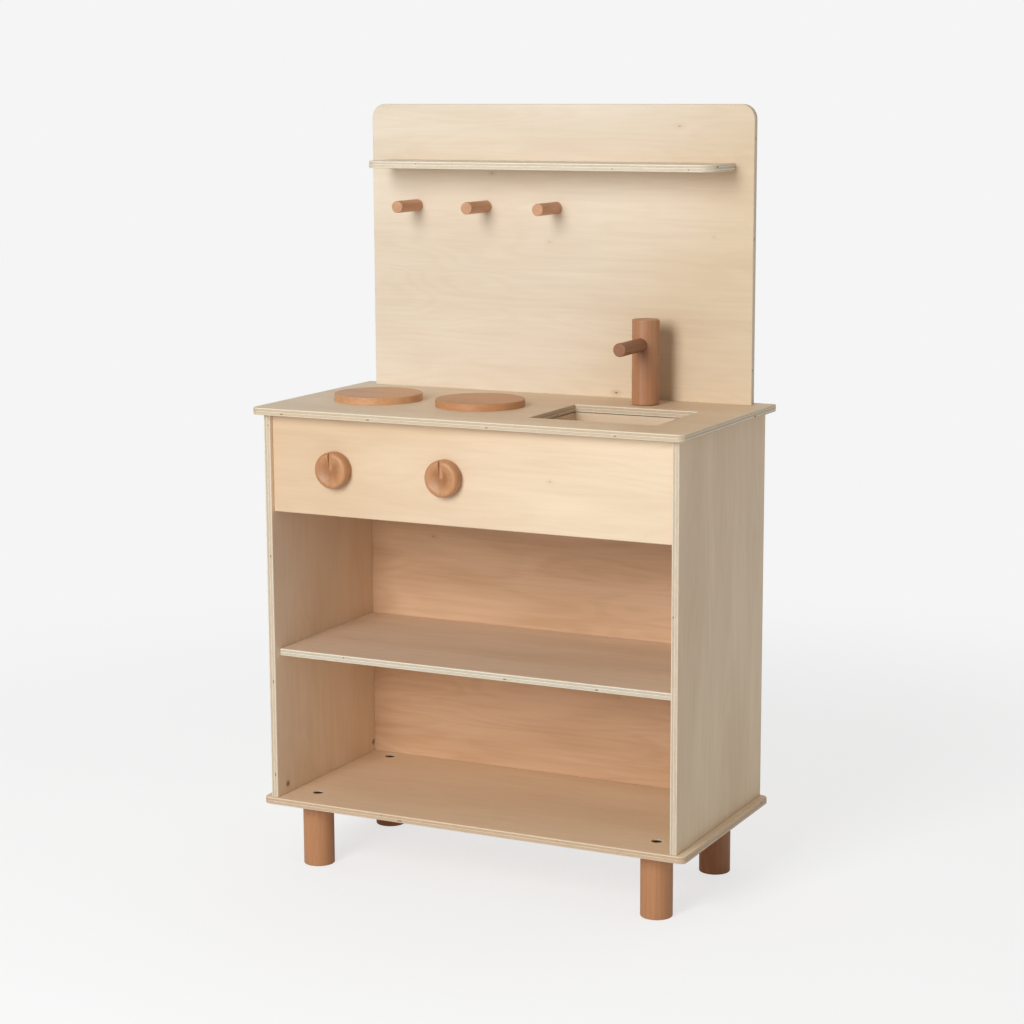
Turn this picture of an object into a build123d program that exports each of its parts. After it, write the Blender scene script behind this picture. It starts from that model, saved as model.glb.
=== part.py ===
from build123d import *
import os

# Wooden toy kitchen: an open plywood cabinet on four round legs, with a worktop, a splashback,
# a sink, two hob discs, two turning knobs and a swivelling tap.
# Origin: on the floor, under the middle of the whole object. +X right, +Y to the rear, +Z up.

os.makedirs("parts", exist_ok=True)

# ---------------------------------------------------------------- driving dimensions, millimetres
PLY = 9.5  # thickness of every plywood piece
EDGE = 1.5  # rounding of exposed plywood edges
TOTAL_HEIGHT = 1000
WORKTOP_TOP = 618

WORKTOP_WIDTH = 603
WORKTOP_DEPTH = 310
WORKTOP_CORNER = 10  # front corners
WORKTOP_REAR_CORNER = 3
CABINET_WIDTH = 580
CABINET_FRONT = -142.5  # front edges of the side panels
CABINET_REAR = 146.5
BASE_WIDTH = 603
BASE_FRONT = -145
BASE_CORNER = 9
GROOVE_DEPTH = 4  # grooves in the side panels that hold the back panel
BACK_FRONT = 118  # front face of the back panel

LEG_RADIUS = 20.5
LEG_HEIGHT = 87
LEG_X = 245
LEG_Y = 98
WOOD_EDGE = 1.2  # rounding of turned beech pieces

SHELF_FRONT = -130
SHELF_TOP = 296.5
FASCIA_FRONT = -136
FASCIA_BOTTOM = 480.5

SPLASH_WIDTH = 554
SPLASH_FRONT = 129
SPLASH_CORNER = 19
LEDGE_X = 1.25  # the ledge's middle, a little right of the splashback's
LEDGE_WIDTH = 499.5
LEDGE_DEPTH = 75
LEDGE_TOP = 926
LEDGE_CORNER = 20
LEDGE_SCREW_XS = (-200, -67, 67, 200)

SINK_X = 152
SINK_Y = -24
SINK_WIDTH = 171
SINK_LENGTH = 138
SINK_DEPTH = 80  # worktop underside to sink floor
SINK_SETBACK = 0.5  # sink walls stand this far outside the cut-out

HOB_RADIUS = 58
HOB_THICKNESS = 9.5
HOB_Y = -19
HOB_XS = {"left": -189, "right": -39}
HOB_SCREW_SPACING = 60
HOB_SCREW_LENGTH = 16
HOB_PILOT_DEPTH = 7

KNOB_RADIUS = 23.5
KNOB_THICKNESS = 15
KNOB_Z = 542
KNOB_XS = {"left": -187, "right": -28}
KNOB_DISH_RADIUS = 19.5
KNOB_DISH_DEPTH = 3.6
KNOB_GROOVE_WIDTH = 5
KNOB_GROOVE_DEPTH = 5.2
KNOB_GROOVE_END = 3  # the groove's round end is centred this far above the knob's middle

TAP_X = 149
TAP_Y = 82
TAP_RADIUS = 17.75
TAP_HEIGHT = 110  # worktop to the top of the post
SPOUT_RADIUS = 8.75
SPOUT_HEIGHT = 78.4  # worktop to the spout's axis
SPOUT_REACH = 84  # post axis to the spout's tip
SPOUT_SOCKET = 2  # the spout's socket ends this far behind the post axis
TAP_INSERT_LENGTH = 20
TAP_BOLT_GRIP = 18  # length of the tap's bolt inside the post
TAP_BOLT_HEAD_RADIUS = 5.5
TAP_BOLT_HEAD_HEIGHT = 4
TAP_BOLT_SOCKET = 2.5
SLIP_WASHER_RADIUS = 14
UNDER_WASHER_RADIUS = 9

PEG_RADIUS = 8
PEG_LENGTH = 58.5
PEG_Z = 865
PEG_XS = {"left": -208, "middle": -104, "right": 0}

# Fixings
SLIP = 0.25  # clearance of a bolt in a plain hole
THREAD_SLIP = 0.05  # clearance drawn between a plain shank and the thread that holds it
TURN_GAP = 0.3  # gap between faces that turn past each other
DOWEL_RADIUS = 2.5
DOWEL_IN_FACE = 6
DOWEL_IN_EDGE = 16
DOWEL_CHAMFER = 0.6
PANEL_DOWEL_YS = (-110, 0, 100)
SHELF_DOWEL_YS = (-90, 75)
FASCIA_DOWEL_INSET = 22  # from the fascia's upper and lower edges
FASCIA_DOWEL_XS = (-235, -107, 60, 235)
BACK_DOWEL_XS = (-200, 0, 200)
SINK_DOWEL_X = 60  # from the sink's middle
SCREW_RADIUS = 1.75
SCREW_HEAD_RADIUS = 3.4
SCREW_HEAD_ANGLE = 90
SCREW_CROSS_LENGTH = 3.6
SCREW_CROSS_WIDTH = 0.9
SCREW_CROSS_DEPTH = 1.2
WOOD_SCREW_LENGTH = 30
PILOT_DEPTH = 22
BOLT_HEAD_CHAMFER = 0.35
BOLT_TIP_CHAMFER = 0.5
SOCKET_SHARE = 0.8  # depth of a bolt's socket as a share of its head
LEG_BOLT_RADIUS = 3
LEG_BOLT_HEAD_RADIUS = 6
LEG_BOLT_HEAD_HEIGHT = 2.4
LEG_BOLT_LENGTH = 26
LEG_BOLT_SOCKET = 2.3
LEG_BOLT_POCKET_RADIUS = 7
LEG_BOLT_SINK = 0.9  # the head's top lies this far below the base's top
INSERT_RADIUS = 5
INSERT_LENGTH = 18
INSERT_RUN_OUT = 6  # bolt hole beyond the insert
PANEL_BOLT_RADIUS = 2
PANEL_BOLT_HEAD_RADIUS = 3.9
PANEL_BOLT_HEAD_HEIGHT = 2
PANEL_BOLT_LENGTH = 26
PANEL_BOLT_SOCKET = 1.5
PANEL_BOLT_RUN_OUT = 9  # bolt hole beyond the barrel nut's axis
FRONT_BOLT_SETBACK = 26  # behind the side panels' front edges
REAR_BOLT_SETBACK = 4.5  # in front of the back panel
SPLASH_BOLT_XS = (-235, 0, 235)
BARREL_RADIUS = 4
BARREL_LENGTH = 8
BARREL_SLOT = 1  # width and depth of the driver slot
BARREL_RISE = 12.5  # panel edge to the barrel nut's axis
KNOB_BOLT_RADIUS = 2.5
KNOB_BOLT_HEAD_RADIUS = 4.5
KNOB_BOLT_HEAD_HEIGHT = 3
KNOB_BOLT_SOCKET = 1.9
KNOB_INSERT_RADIUS = 4
KNOB_INSERT_LENGTH = 8
KNOB_WASHER_RADIUS = 10
KNOB_WASHER_THICKNESS = 0.8
TAP_WASHER_THICKNESS = 0.5
BACK_WASHER_RADIUS = 7
BACK_WASHER_THICKNESS = 1

# ---------------------------------------------------------------- worked-out dimensions
WORKTOP_BOTTOM = WORKTOP_TOP - PLY
BASE_TOP = LEG_HEIGHT + PLY
PANEL_HEIGHT = WORKTOP_BOTTOM - BASE_TOP
PANEL_MIDDLE = CABINET_WIDTH / 2 - PLY / 2  # x of the side panels' middle plane
INNER_WIDTH = CABINET_WIDTH - 2 * PLY
CABINET_DEPTH = CABINET_REAR - CABINET_FRONT
BASE_DEPTH = CABINET_REAR - BASE_FRONT
SHELF_MIDDLE = SHELF_TOP - PLY / 2
SHELF_DEPTH = BACK_FRONT - SHELF_FRONT
FASCIA_HEIGHT = WORKTOP_BOTTOM - FASCIA_BOTTOM
FASCIA_MIDDLE = FASCIA_FRONT + PLY / 2
FASCIA_REAR = FASCIA_FRONT + PLY
BACK_MIDDLE = BACK_FRONT + PLY / 2
SPLASH_HEIGHT = TOTAL_HEIGHT - WORKTOP_TOP
SPLASH_MIDDLE = SPLASH_FRONT + PLY / 2
SPLASH_REAR = SPLASH_FRONT + PLY
SINK_INNER_WIDTH = SINK_WIDTH + 2 * SINK_SETBACK
SINK_INNER_LENGTH = SINK_LENGTH + 2 * SINK_SETBACK
SINK_BOTTOM = WORKTOP_BOTTOM - SINK_DEPTH
SINK_WALL_Y = SINK_INNER_LENGTH / 2 + PLY / 2  # sink centre to the middle of its front or rear wall
KNOB_BACK = FASCIA_FRONT - KNOB_WASHER_THICKNESS - TURN_GAP
TAP_FOOT = WORKTOP_TOP + TAP_WASHER_THICKNESS + TURN_GAP

UP = (0, 0, 1)
DOWN = (0, 0, -1)
REAR = (0, 1, 0)
FRONT = (0, -1, 0)
RIGHT = (1, 0, 0)
LEFT = (-1, 0, 0)
SIDES = {"left": -1, "right": 1}

# Places of the fixings, each on the face that it starts from
leg_spots = [(x, y, BASE_TOP) for x in (-LEG_X, LEG_X) for y in (-LEG_Y, LEG_Y)]
panel_bolt_ys = (CABINET_FRONT + FRONT_BOLT_SETBACK, BACK_FRONT - REAR_BOLT_SETBACK)
fascia_dowel_zs = (FASCIA_BOTTOM + FASCIA_DOWEL_INSET, WORKTOP_BOTTOM - FASCIA_DOWEL_INSET)
fascia_top_dowels = [(x, FASCIA_MIDDLE, WORKTOP_BOTTOM) for x in FASCIA_DOWEL_XS]
back_top_dowels = [(x, BACK_MIDDLE, WORKTOP_BOTTOM) for x in BACK_DOWEL_XS]
splash_bolt_spots = [(x, SPLASH_MIDDLE, WORKTOP_BOTTOM) for x in SPLASH_BOLT_XS]
ledge_screw_spots = [(x, SPLASH_REAR, LEDGE_TOP - PLY / 2) for x in LEDGE_SCREW_XS]
peg_screw_spots = [(x, SPLASH_REAR, PEG_Z) for x in PEG_XS.values()]
sink_dowels_at = [
    (SINK_X + x, SINK_Y + y, WORKTOP_BOTTOM)
    for x in (-SINK_DOWEL_X, SINK_DOWEL_X)
    for y in (-SINK_WALL_Y, SINK_WALL_Y)
]
sink_screws_at = [(x, y, SINK_BOTTOM - PLY) for x, y, _ in sink_dowels_at]


def hob_screw_spots(hob_x):
    """Two screws up through the worktop into one hob disc."""
    return [(hob_x + dx, HOB_Y, WORKTOP_BOTTOM) for dx in (-HOB_SCREW_SPACING / 2, HOB_SCREW_SPACING / 2)]


hob_screws_at = [spot for hob_x in HOB_XS.values() for spot in hob_screw_spots(hob_x)]


def facing(spots, direction):
    """Planes at the spots whose normals point in the direction, out of a hole's mouth."""
    return [Plane(origin=spot, z_dir=direction) for spot in spots]


def drill(spots, direction, radius, depth):
    """Blind holes in the current part, from each spot against the direction."""
    with Locations(*facing(spots, direction)):
        Hole(radius=radius, depth=depth)


def countersink(spots, direction):
    """Clearance holes right through the current part for countersunk screws."""
    with Locations(*facing(spots, direction)):
        CounterSinkHole(
            radius=SCREW_RADIUS + SLIP,
            counter_sink_radius=SCREW_HEAD_RADIUS + THREAD_SLIP,
            counter_sink_angle=SCREW_HEAD_ANGLE,
        )


def round_edges(edges, radius=EDGE):
    """Rounds the exposed edges of a plywood panel."""
    fillet(edges, radius=radius)


def save(builder, name):
    """Labels a finished piece and writes its STEP file."""
    builder.part.label = name
    export_step(builder.part, f"parts/{name}.step")


# ---------------------------------------------------------------- fixings, each drawn once
# Every fixing hangs down from its head: the bearing face of the head is at z = 0 or the head's
# flat top is, and the shank runs to -z.

def countersunk_screw(length):
    """A countersunk wood screw with a cross recess, drawn without its thread."""
    head_height = SCREW_HEAD_RADIUS - SCREW_RADIUS  # a 90 degree head
    tip_length = 2 * SCREW_RADIUS
    with BuildPart() as screw:
        with BuildSketch(Plane.XZ):
            with BuildLine():
                Polyline(
                    (0, 0),
                    (SCREW_HEAD_RADIUS, 0),
                    (SCREW_RADIUS, -head_height),
                    (SCREW_RADIUS, tip_length - length),
                    (0, -length),
                    close=True,
                )
            make_face()
        revolve(axis=Axis.Z)
        with BuildSketch():
            Rectangle(SCREW_CROSS_LENGTH, SCREW_CROSS_WIDTH)
            Rectangle(SCREW_CROSS_WIDTH, SCREW_CROSS_LENGTH)
        extrude(amount=-SCREW_CROSS_DEPTH, mode=Mode.SUBTRACT)
    return screw


def socket_bolt(head_radius, head_height, shank_radius, length, hex_radius):
    """A flat-headed bolt with a hexagon socket. Its head's top is at z = 0."""
    with BuildPart() as bolt:
        with BuildSketch():
            Circle(head_radius)
        extrude(amount=-head_height)
        chamfer(bolt.faces().sort_by(Axis.Z)[-1].edges(), length=BOLT_HEAD_CHAMFER)
        with BuildSketch(Plane.XY.offset(-head_height)):
            Circle(shank_radius)
        extrude(amount=-length)
        chamfer(bolt.faces().sort_by(Axis.Z)[0].edges(), length=BOLT_TIP_CHAMFER)
        with BuildSketch():
            RegularPolygon(radius=hex_radius, side_count=6)
        extrude(amount=-head_height * SOCKET_SHARE, mode=Mode.SUBTRACT)
    return bolt


def threaded_sleeve(outer_radius, inner_radius, length):
    """A threaded insert, drawn plain. Its mouth is at z = 0."""
    with BuildPart() as sleeve:
        with BuildSketch():
            Circle(outer_radius)
            Circle(inner_radius, mode=Mode.SUBTRACT)
        extrude(amount=-length)
    return sleeve


def washer(outer_radius, inner_radius, thickness):
    """A flat washer that lies on z = 0."""
    with BuildPart() as ring:
        with BuildSketch():
            Circle(outer_radius)
            Circle(inner_radius, mode=Mode.SUBTRACT)
        extrude(amount=thickness)
    return ring


def dowel_group(spots, direction):
    """Dowels across the joint faces at the spots, with the long end against the direction."""
    with BuildPart() as group:
        with Locations(*facing(spots, direction)):
            Cylinder(
                DOWEL_RADIUS,
                DOWEL_IN_EDGE,
                align=(Align.CENTER, Align.CENTER, Align.MAX),
            )
            Cylinder(
                DOWEL_RADIUS,
                DOWEL_IN_FACE,
                align=(Align.CENTER, Align.CENTER, Align.MIN),
            )
        chamfer(group.edges().filter_by(GeomType.CIRCLE), length=DOWEL_CHAMFER)
    return group


def fixing_group(fixing, spots, direction):
    """Copies of one fixing, heads at the spots and shanks against the direction."""
    with BuildPart() as group:
        with Locations(*facing(spots, direction)):
            add(fixing.part)
    return group


wood_screw = countersunk_screw(WOOD_SCREW_LENGTH)
hob_screw = countersunk_screw(HOB_SCREW_LENGTH)
leg_bolt = socket_bolt(
    LEG_BOLT_HEAD_RADIUS, LEG_BOLT_HEAD_HEIGHT, LEG_BOLT_RADIUS, LEG_BOLT_LENGTH, LEG_BOLT_SOCKET
)
panel_bolt = socket_bolt(
    PANEL_BOLT_HEAD_RADIUS, PANEL_BOLT_HEAD_HEIGHT, PANEL_BOLT_RADIUS, PANEL_BOLT_LENGTH, PANEL_BOLT_SOCKET
)

with BuildPart() as barrel_nut:
    # The barrel lies along z from its slotted end at z = 0; the bolt crosses at the panel's middle.
    with BuildSketch():
        Circle(BARREL_RADIUS)
    extrude(amount=-BARREL_LENGTH)
    with Locations(Plane(origin=(0, BARREL_RADIUS, -PLY / 2), z_dir=REAR)):
        Hole(radius=PANEL_BOLT_RADIUS + THREAD_SLIP)
    with BuildSketch():
        Rectangle(2 * BARREL_RADIUS, BARREL_SLOT)
    extrude(amount=-BARREL_SLOT, mode=Mode.SUBTRACT)

# ---------------------------------------------------------------- legs
for name, (x, y, _) in zip(
    ("front_left_leg", "rear_left_leg", "front_right_leg", "rear_right_leg"), leg_spots
):
    with BuildPart() as leg:
        with BuildSketch(Plane(origin=(x, y, 0))):
            Circle(LEG_RADIUS)
        extrude(amount=LEG_HEIGHT)
        fillet(leg.faces().sort_by(Axis.Z)[0].edges(), radius=WOOD_EDGE)
        with Locations((x, y, LEG_HEIGHT)):
            CounterBoreHole(
                radius=LEG_BOLT_RADIUS + SLIP,
                counter_bore_radius=INSERT_RADIUS,
                counter_bore_depth=INSERT_LENGTH,
                depth=INSERT_LENGTH + INSERT_RUN_OUT,
            )
    save(leg, name)

leg_tops = [(x, y, LEG_HEIGHT) for x, y, _ in leg_spots]
leg_insert = threaded_sleeve(INSERT_RADIUS, LEG_BOLT_RADIUS + THREAD_SLIP, INSERT_LENGTH)
save(fixing_group(leg_insert, leg_tops, UP), "leg_inserts")
leg_bolt_heads = [(x, y, BASE_TOP - LEG_BOLT_SINK) for x, y, _ in leg_spots]
save(fixing_group(leg_bolt, leg_bolt_heads, UP), "leg_bolts")

# ---------------------------------------------------------------- base
base_bolt_spots = [(s * PANEL_MIDDLE, y, LEG_HEIGHT) for s in SIDES.values() for y in panel_bolt_ys]

with BuildPart() as base_panel:
    with BuildSketch(Plane.XY.offset(LEG_HEIGHT)):
        with Locations((0, BASE_FRONT + BASE_DEPTH / 2)):
            RectangleRounded(BASE_WIDTH, BASE_DEPTH, BASE_CORNER)
    extrude(amount=PLY)
    round_edges(base_panel.faces().sort_by(Axis.Z)[-1].edges())
    round_edges(base_panel.faces().sort_by(Axis.Z)[0].edges())
    with Locations(*leg_spots):
        CounterBoreHole(
            radius=LEG_BOLT_RADIUS + SLIP,
            counter_bore_radius=LEG_BOLT_POCKET_RADIUS,
            counter_bore_depth=LEG_BOLT_SINK + LEG_BOLT_HEAD_HEIGHT,
        )
    with Locations(*facing(base_bolt_spots, DOWN)):
        CounterBoreHole(
            radius=PANEL_BOLT_RADIUS + SLIP,
            counter_bore_radius=PANEL_BOLT_HEAD_RADIUS + SLIP,
            counter_bore_depth=PANEL_BOLT_HEAD_HEIGHT,
        )
save(base_panel, "base_panel")
save(fixing_group(panel_bolt, base_bolt_spots, DOWN), "base_bolts")

# ---------------------------------------------------------------- side panels
barrel_z = BASE_TOP + BARREL_RISE
base_barrel_nuts = []

for name, side in SIDES.items():
    inner_x = side * INNER_WIDTH / 2
    inward = (-side, 0, 0)
    middle_x = side * PANEL_MIDDLE
    with BuildPart() as side_panel:
        with BuildSketch(Plane.XY.offset(BASE_TOP)):
            with Locations((middle_x, CABINET_FRONT + CABINET_DEPTH / 2)):
                Rectangle(PLY, CABINET_DEPTH)
        extrude(amount=PANEL_HEIGHT)
        round_edges(side_panel.edges().filter_by(Axis.Z))
        # Groove for the back panel
        with BuildSketch(Plane.XY.offset(BASE_TOP)):
            with Locations((inner_x + side * GROOVE_DEPTH / 2, BACK_MIDDLE)):
                Rectangle(GROOVE_DEPTH, PLY)
        extrude(amount=PANEL_HEIGHT, mode=Mode.SUBTRACT)
        # Bolts come up from the base into barrel nuts that slide in from the inner face
        bolt_bores = [(middle_x, y, BASE_TOP) for y in panel_bolt_ys]
        drill(bolt_bores, DOWN, PANEL_BOLT_RADIUS + SLIP, BARREL_RISE + PANEL_BOLT_RUN_OUT)
        barrel_spots = [(inner_x, y, barrel_z) for y in panel_bolt_ys]
        drill(barrel_spots, inward, BARREL_RADIUS, BARREL_LENGTH)
        # Dowels to the worktop, the mid shelf and the fascia
        drill([(middle_x, y, WORKTOP_BOTTOM) for y in PANEL_DOWEL_YS], UP, DOWEL_RADIUS, DOWEL_IN_EDGE)
        drill([(inner_x, y, SHELF_MIDDLE) for y in SHELF_DOWEL_YS], inward, DOWEL_RADIUS, DOWEL_IN_FACE)
        drill([(inner_x, FASCIA_MIDDLE, z) for z in fascia_dowel_zs], inward, DOWEL_RADIUS, DOWEL_IN_FACE)
    save(side_panel, f"{name}_side_panel")
    # The nuts stand with their bolt holes upright
    base_barrel_nuts += [Plane(origin=spot, x_dir=REAR, z_dir=inward) for spot in barrel_spots]

with BuildPart() as barrel_nuts:
    with Locations(*base_barrel_nuts):
        add(barrel_nut.part)
save(barrel_nuts, "base_barrel_nuts")

# ---------------------------------------------------------------- back panel
with BuildPart() as back_panel:
    with BuildSketch(Plane.XY.offset(BASE_TOP)):
        with Locations((0, BACK_MIDDLE)):
            Rectangle(INNER_WIDTH + 2 * GROOVE_DEPTH, PLY)
    extrude(amount=PANEL_HEIGHT)
    drill(back_top_dowels, UP, DOWEL_RADIUS, DOWEL_IN_EDGE)
save(back_panel, "back_panel")

# ---------------------------------------------------------------- mid shelf
shelf_dowel_spots = {
    side: [(side * INNER_WIDTH / 2, y, SHELF_MIDDLE) for y in SHELF_DOWEL_YS] for side in SIDES.values()
}

with BuildPart() as mid_shelf:
    with BuildSketch(Plane.XY.offset(SHELF_TOP - PLY)):
        with Locations((0, SHELF_FRONT + SHELF_DEPTH / 2)):
            Rectangle(INNER_WIDTH, SHELF_DEPTH)
    extrude(amount=PLY)
    round_edges(mid_shelf.faces().sort_by(Axis.Y)[0].edges().filter_by(Axis.X))
    drill(shelf_dowel_spots[-1], LEFT, DOWEL_RADIUS, DOWEL_IN_EDGE)
    drill(shelf_dowel_spots[1], RIGHT, DOWEL_RADIUS, DOWEL_IN_EDGE)
save(mid_shelf, "mid_shelf")

with BuildPart() as shelf_dowels:
    add(dowel_group(shelf_dowel_spots[-1], LEFT).part)
    add(dowel_group(shelf_dowel_spots[1], RIGHT).part)
save(shelf_dowels, "shelf_dowels")

# ---------------------------------------------------------------- fascia
knob_spots = [(x, FASCIA_FRONT, KNOB_Z) for x in KNOB_XS.values()]
fascia_dowel_spots = {
    side: [(side * INNER_WIDTH / 2, FASCIA_MIDDLE, z) for z in fascia_dowel_zs] for side in SIDES.values()
}

with BuildPart() as fascia_panel:
    with BuildSketch(Plane.XY.offset(FASCIA_BOTTOM)):
        with Locations((0, FASCIA_MIDDLE)):
            Rectangle(INNER_WIDTH, PLY)
    extrude(amount=FASCIA_HEIGHT)
    round_edges(fascia_panel.faces().sort_by(Axis.Z)[0].edges().filter_by(Axis.X))
    with Locations(*facing(knob_spots, FRONT)):
        Hole(radius=KNOB_BOLT_RADIUS + SLIP)
    drill(fascia_dowel_spots[-1], LEFT, DOWEL_RADIUS, DOWEL_IN_EDGE)
    drill(fascia_dowel_spots[1], RIGHT, DOWEL_RADIUS, DOWEL_IN_EDGE)
    drill(fascia_top_dowels, UP, DOWEL_RADIUS, DOWEL_IN_EDGE)
save(fascia_panel, "fascia_panel")

with BuildPart() as fascia_dowels:
    add(dowel_group(fascia_dowel_spots[-1], LEFT).part)
    add(dowel_group(fascia_dowel_spots[1], RIGHT).part)
save(fascia_dowels, "fascia_dowels")

# ---------------------------------------------------------------- worktop
side_dowel_spots = [(s * PANEL_MIDDLE, y, WORKTOP_BOTTOM) for s in SIDES.values() for y in PANEL_DOWEL_YS]
worktop_dowel_spots = side_dowel_spots + fascia_top_dowels + back_top_dowels

with BuildPart() as worktop:
    with BuildSketch(Plane.XY.offset(WORKTOP_BOTTOM)) as outline:
        Rectangle(WORKTOP_WIDTH, WORKTOP_DEPTH)
        fillet(outline.vertices().group_by(Axis.Y)[0], radius=WORKTOP_CORNER)
        fillet(outline.vertices().group_by(Axis.Y)[-1], radius=WORKTOP_REAR_CORNER)
    extrude(amount=PLY)
    round_edges(worktop.faces().sort_by(Axis.Z)[-1].edges())
    round_edges(worktop.faces().sort_by(Axis.Z)[0].edges())
    with BuildSketch(Plane.XY.offset(WORKTOP_BOTTOM)):
        with Locations((SINK_X, SINK_Y)):
            Rectangle(SINK_WIDTH, SINK_LENGTH)
    extrude(amount=PLY, mode=Mode.SUBTRACT)
    round_edges(worktop.faces().sort_by(Axis.Z)[-1].inner_wires().edges())
    drill(worktop_dowel_spots + sink_dowels_at, DOWN, DOWEL_RADIUS, DOWEL_IN_FACE)
    with Locations((TAP_X, TAP_Y, WORKTOP_TOP)):
        Hole(radius=LEG_BOLT_RADIUS + SLIP)
    with Locations(*facing(splash_bolt_spots, DOWN)):
        CounterBoreHole(
            radius=PANEL_BOLT_RADIUS + SLIP,
            counter_bore_radius=PANEL_BOLT_HEAD_RADIUS + SLIP,
            counter_bore_depth=PANEL_BOLT_HEAD_HEIGHT,
        )
    countersink(hob_screws_at, DOWN)
save(worktop, "worktop")
save(dowel_group(worktop_dowel_spots, UP), "worktop_dowels")

# ---------------------------------------------------------------- splashback
with BuildPart() as splashback:
    with BuildSketch(Plane(origin=(0, SPLASH_FRONT, WORKTOP_TOP), x_dir=RIGHT, z_dir=REAR)):
        with Locations((0, -SPLASH_HEIGHT / 2)):
            Rectangle(SPLASH_WIDTH, SPLASH_HEIGHT)
    extrude(amount=PLY)
    top_corners = splashback.edges().filter_by(Axis.Y).group_by(Axis.Z)[-1]
    fillet(top_corners, radius=SPLASH_CORNER)
    outer_edges = splashback.faces().filter_by(Axis.Y).edges()
    foot_edges = splashback.faces().sort_by(Axis.Z)[0].edges()
    round_edges([edge for edge in outer_edges if edge not in foot_edges])
    countersink(ledge_screw_spots + peg_screw_spots, REAR)
    splash_feet = [(x, SPLASH_MIDDLE, WORKTOP_TOP) for x, _, _ in splash_bolt_spots]
    drill(splash_feet, DOWN, PANEL_BOLT_RADIUS + SLIP, BARREL_RISE + PANEL_BOLT_RUN_OUT)
    splash_barrel_spots = [(x, SPLASH_REAR, WORKTOP_TOP + BARREL_RISE) for x, _, _ in splash_bolt_spots]
    drill(splash_barrel_spots, REAR, BARREL_RADIUS, BARREL_LENGTH)
save(splashback, "splashback")
save(fixing_group(panel_bolt, splash_bolt_spots, DOWN), "splashback_bolts")

with BuildPart() as splashback_barrel_nuts:
    with Locations(*[Plane(origin=spot, x_dir=RIGHT, z_dir=REAR) for spot in splash_barrel_spots]):
        add(barrel_nut.part)
save(splashback_barrel_nuts, "splashback_barrel_nuts")

# ---------------------------------------------------------------- splashback ledge
with BuildPart() as ledge_shelf:
    with BuildSketch(Plane.XY.offset(LEDGE_TOP - PLY)):
        with Locations((LEDGE_X, SPLASH_FRONT - LEDGE_DEPTH / 2)):
            Rectangle(LEDGE_WIDTH, LEDGE_DEPTH)
    extrude(amount=PLY)
    front_corners = ledge_shelf.edges().filter_by(Axis.Z).group_by(Axis.Y)[0]
    fillet(front_corners, radius=LEDGE_CORNER)
    rim_edges = ledge_shelf.faces().filter_by(Axis.Z).edges()
    joint_edges = ledge_shelf.faces().sort_by(Axis.Y)[-1].edges()
    round_edges([edge for edge in rim_edges if edge not in joint_edges])
    ledge_pilots = [(x, SPLASH_FRONT, z) for x, _, z in ledge_screw_spots]
    drill(ledge_pilots, REAR, SCREW_RADIUS, PILOT_DEPTH)
save(ledge_shelf, "ledge_shelf")
save(fixing_group(wood_screw, ledge_screw_spots, REAR), "ledge_screws")

# ---------------------------------------------------------------- hook pegs
for name, x in PEG_XS.items():
    with BuildPart() as peg:
        with BuildSketch(Plane(origin=(x, SPLASH_FRONT, PEG_Z), z_dir=FRONT)):
            Circle(PEG_RADIUS)
        extrude(amount=PEG_LENGTH)
        fillet(peg.faces().sort_by(Axis.Y)[0].edges(), radius=WOOD_EDGE)
        drill([(x, SPLASH_FRONT, PEG_Z)], REAR, SCREW_RADIUS, PILOT_DEPTH)
    save(peg, f"{name}_hook_peg")
save(fixing_group(wood_screw, peg_screw_spots, REAR), "peg_screws")

# ---------------------------------------------------------------- hob discs
for name, x in HOB_XS.items():
    with BuildPart() as hob_disc:
        with BuildSketch(Plane(origin=(x, HOB_Y, WORKTOP_TOP))):
            Circle(HOB_RADIUS)
        extrude(amount=HOB_THICKNESS)
        fillet(hob_disc.faces().sort_by(Axis.Z)[-1].edges(), radius=WOOD_EDGE)
        pilots = [(sx, sy, WORKTOP_TOP) for sx, sy, _ in hob_screw_spots(x)]
        drill(pilots, DOWN, SCREW_RADIUS, HOB_PILOT_DEPTH)
    save(hob_disc, f"{name}_hob_disc")
save(fixing_group(hob_screw, hob_screws_at, DOWN), "hob_screws")

# ---------------------------------------------------------------- sink
for name, side in (("front", -1), ("rear", 1)):
    wall_y = SINK_Y + side * SINK_WALL_Y
    with BuildPart() as sink_wall:
        with BuildSketch(Plane.XY.offset(SINK_BOTTOM)):
            with Locations((SINK_X, wall_y)):
                Rectangle(SINK_INNER_WIDTH + 2 * PLY, PLY)
        extrude(amount=SINK_DEPTH)
        drill([spot for spot in sink_dowels_at if spot[1] == wall_y], UP, DOWEL_RADIUS, DOWEL_IN_EDGE)
        pilots = [(x, y, SINK_BOTTOM) for x, y, _ in sink_dowels_at if y == wall_y]
        drill(pilots, DOWN, SCREW_RADIUS, PILOT_DEPTH)
    save(sink_wall, f"sink_{name}_wall")

for name, side in SIDES.items():
    with BuildPart() as sink_end:
        with BuildSketch(Plane.XY.offset(SINK_BOTTOM)):
            with Locations((SINK_X + side * (SINK_INNER_WIDTH + PLY) / 2, SINK_Y)):
                Rectangle(PLY, SINK_INNER_LENGTH)
        extrude(amount=SINK_DEPTH)
    save(sink_end, f"sink_{name}_wall")

with BuildPart() as sink_floor:
    with BuildSketch(Plane.XY.offset(SINK_BOTTOM - PLY)):
        with Locations((SINK_X, SINK_Y)):
            Rectangle(SINK_INNER_WIDTH + 2 * PLY, SINK_INNER_LENGTH + 2 * PLY)
    extrude(amount=PLY)
    countersink(sink_screws_at, DOWN)
save(sink_floor, "sink_floor")
save(dowel_group(sink_dowels_at, UP), "sink_dowels")
save(fixing_group(wood_screw, sink_screws_at, DOWN), "sink_screws")

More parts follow.
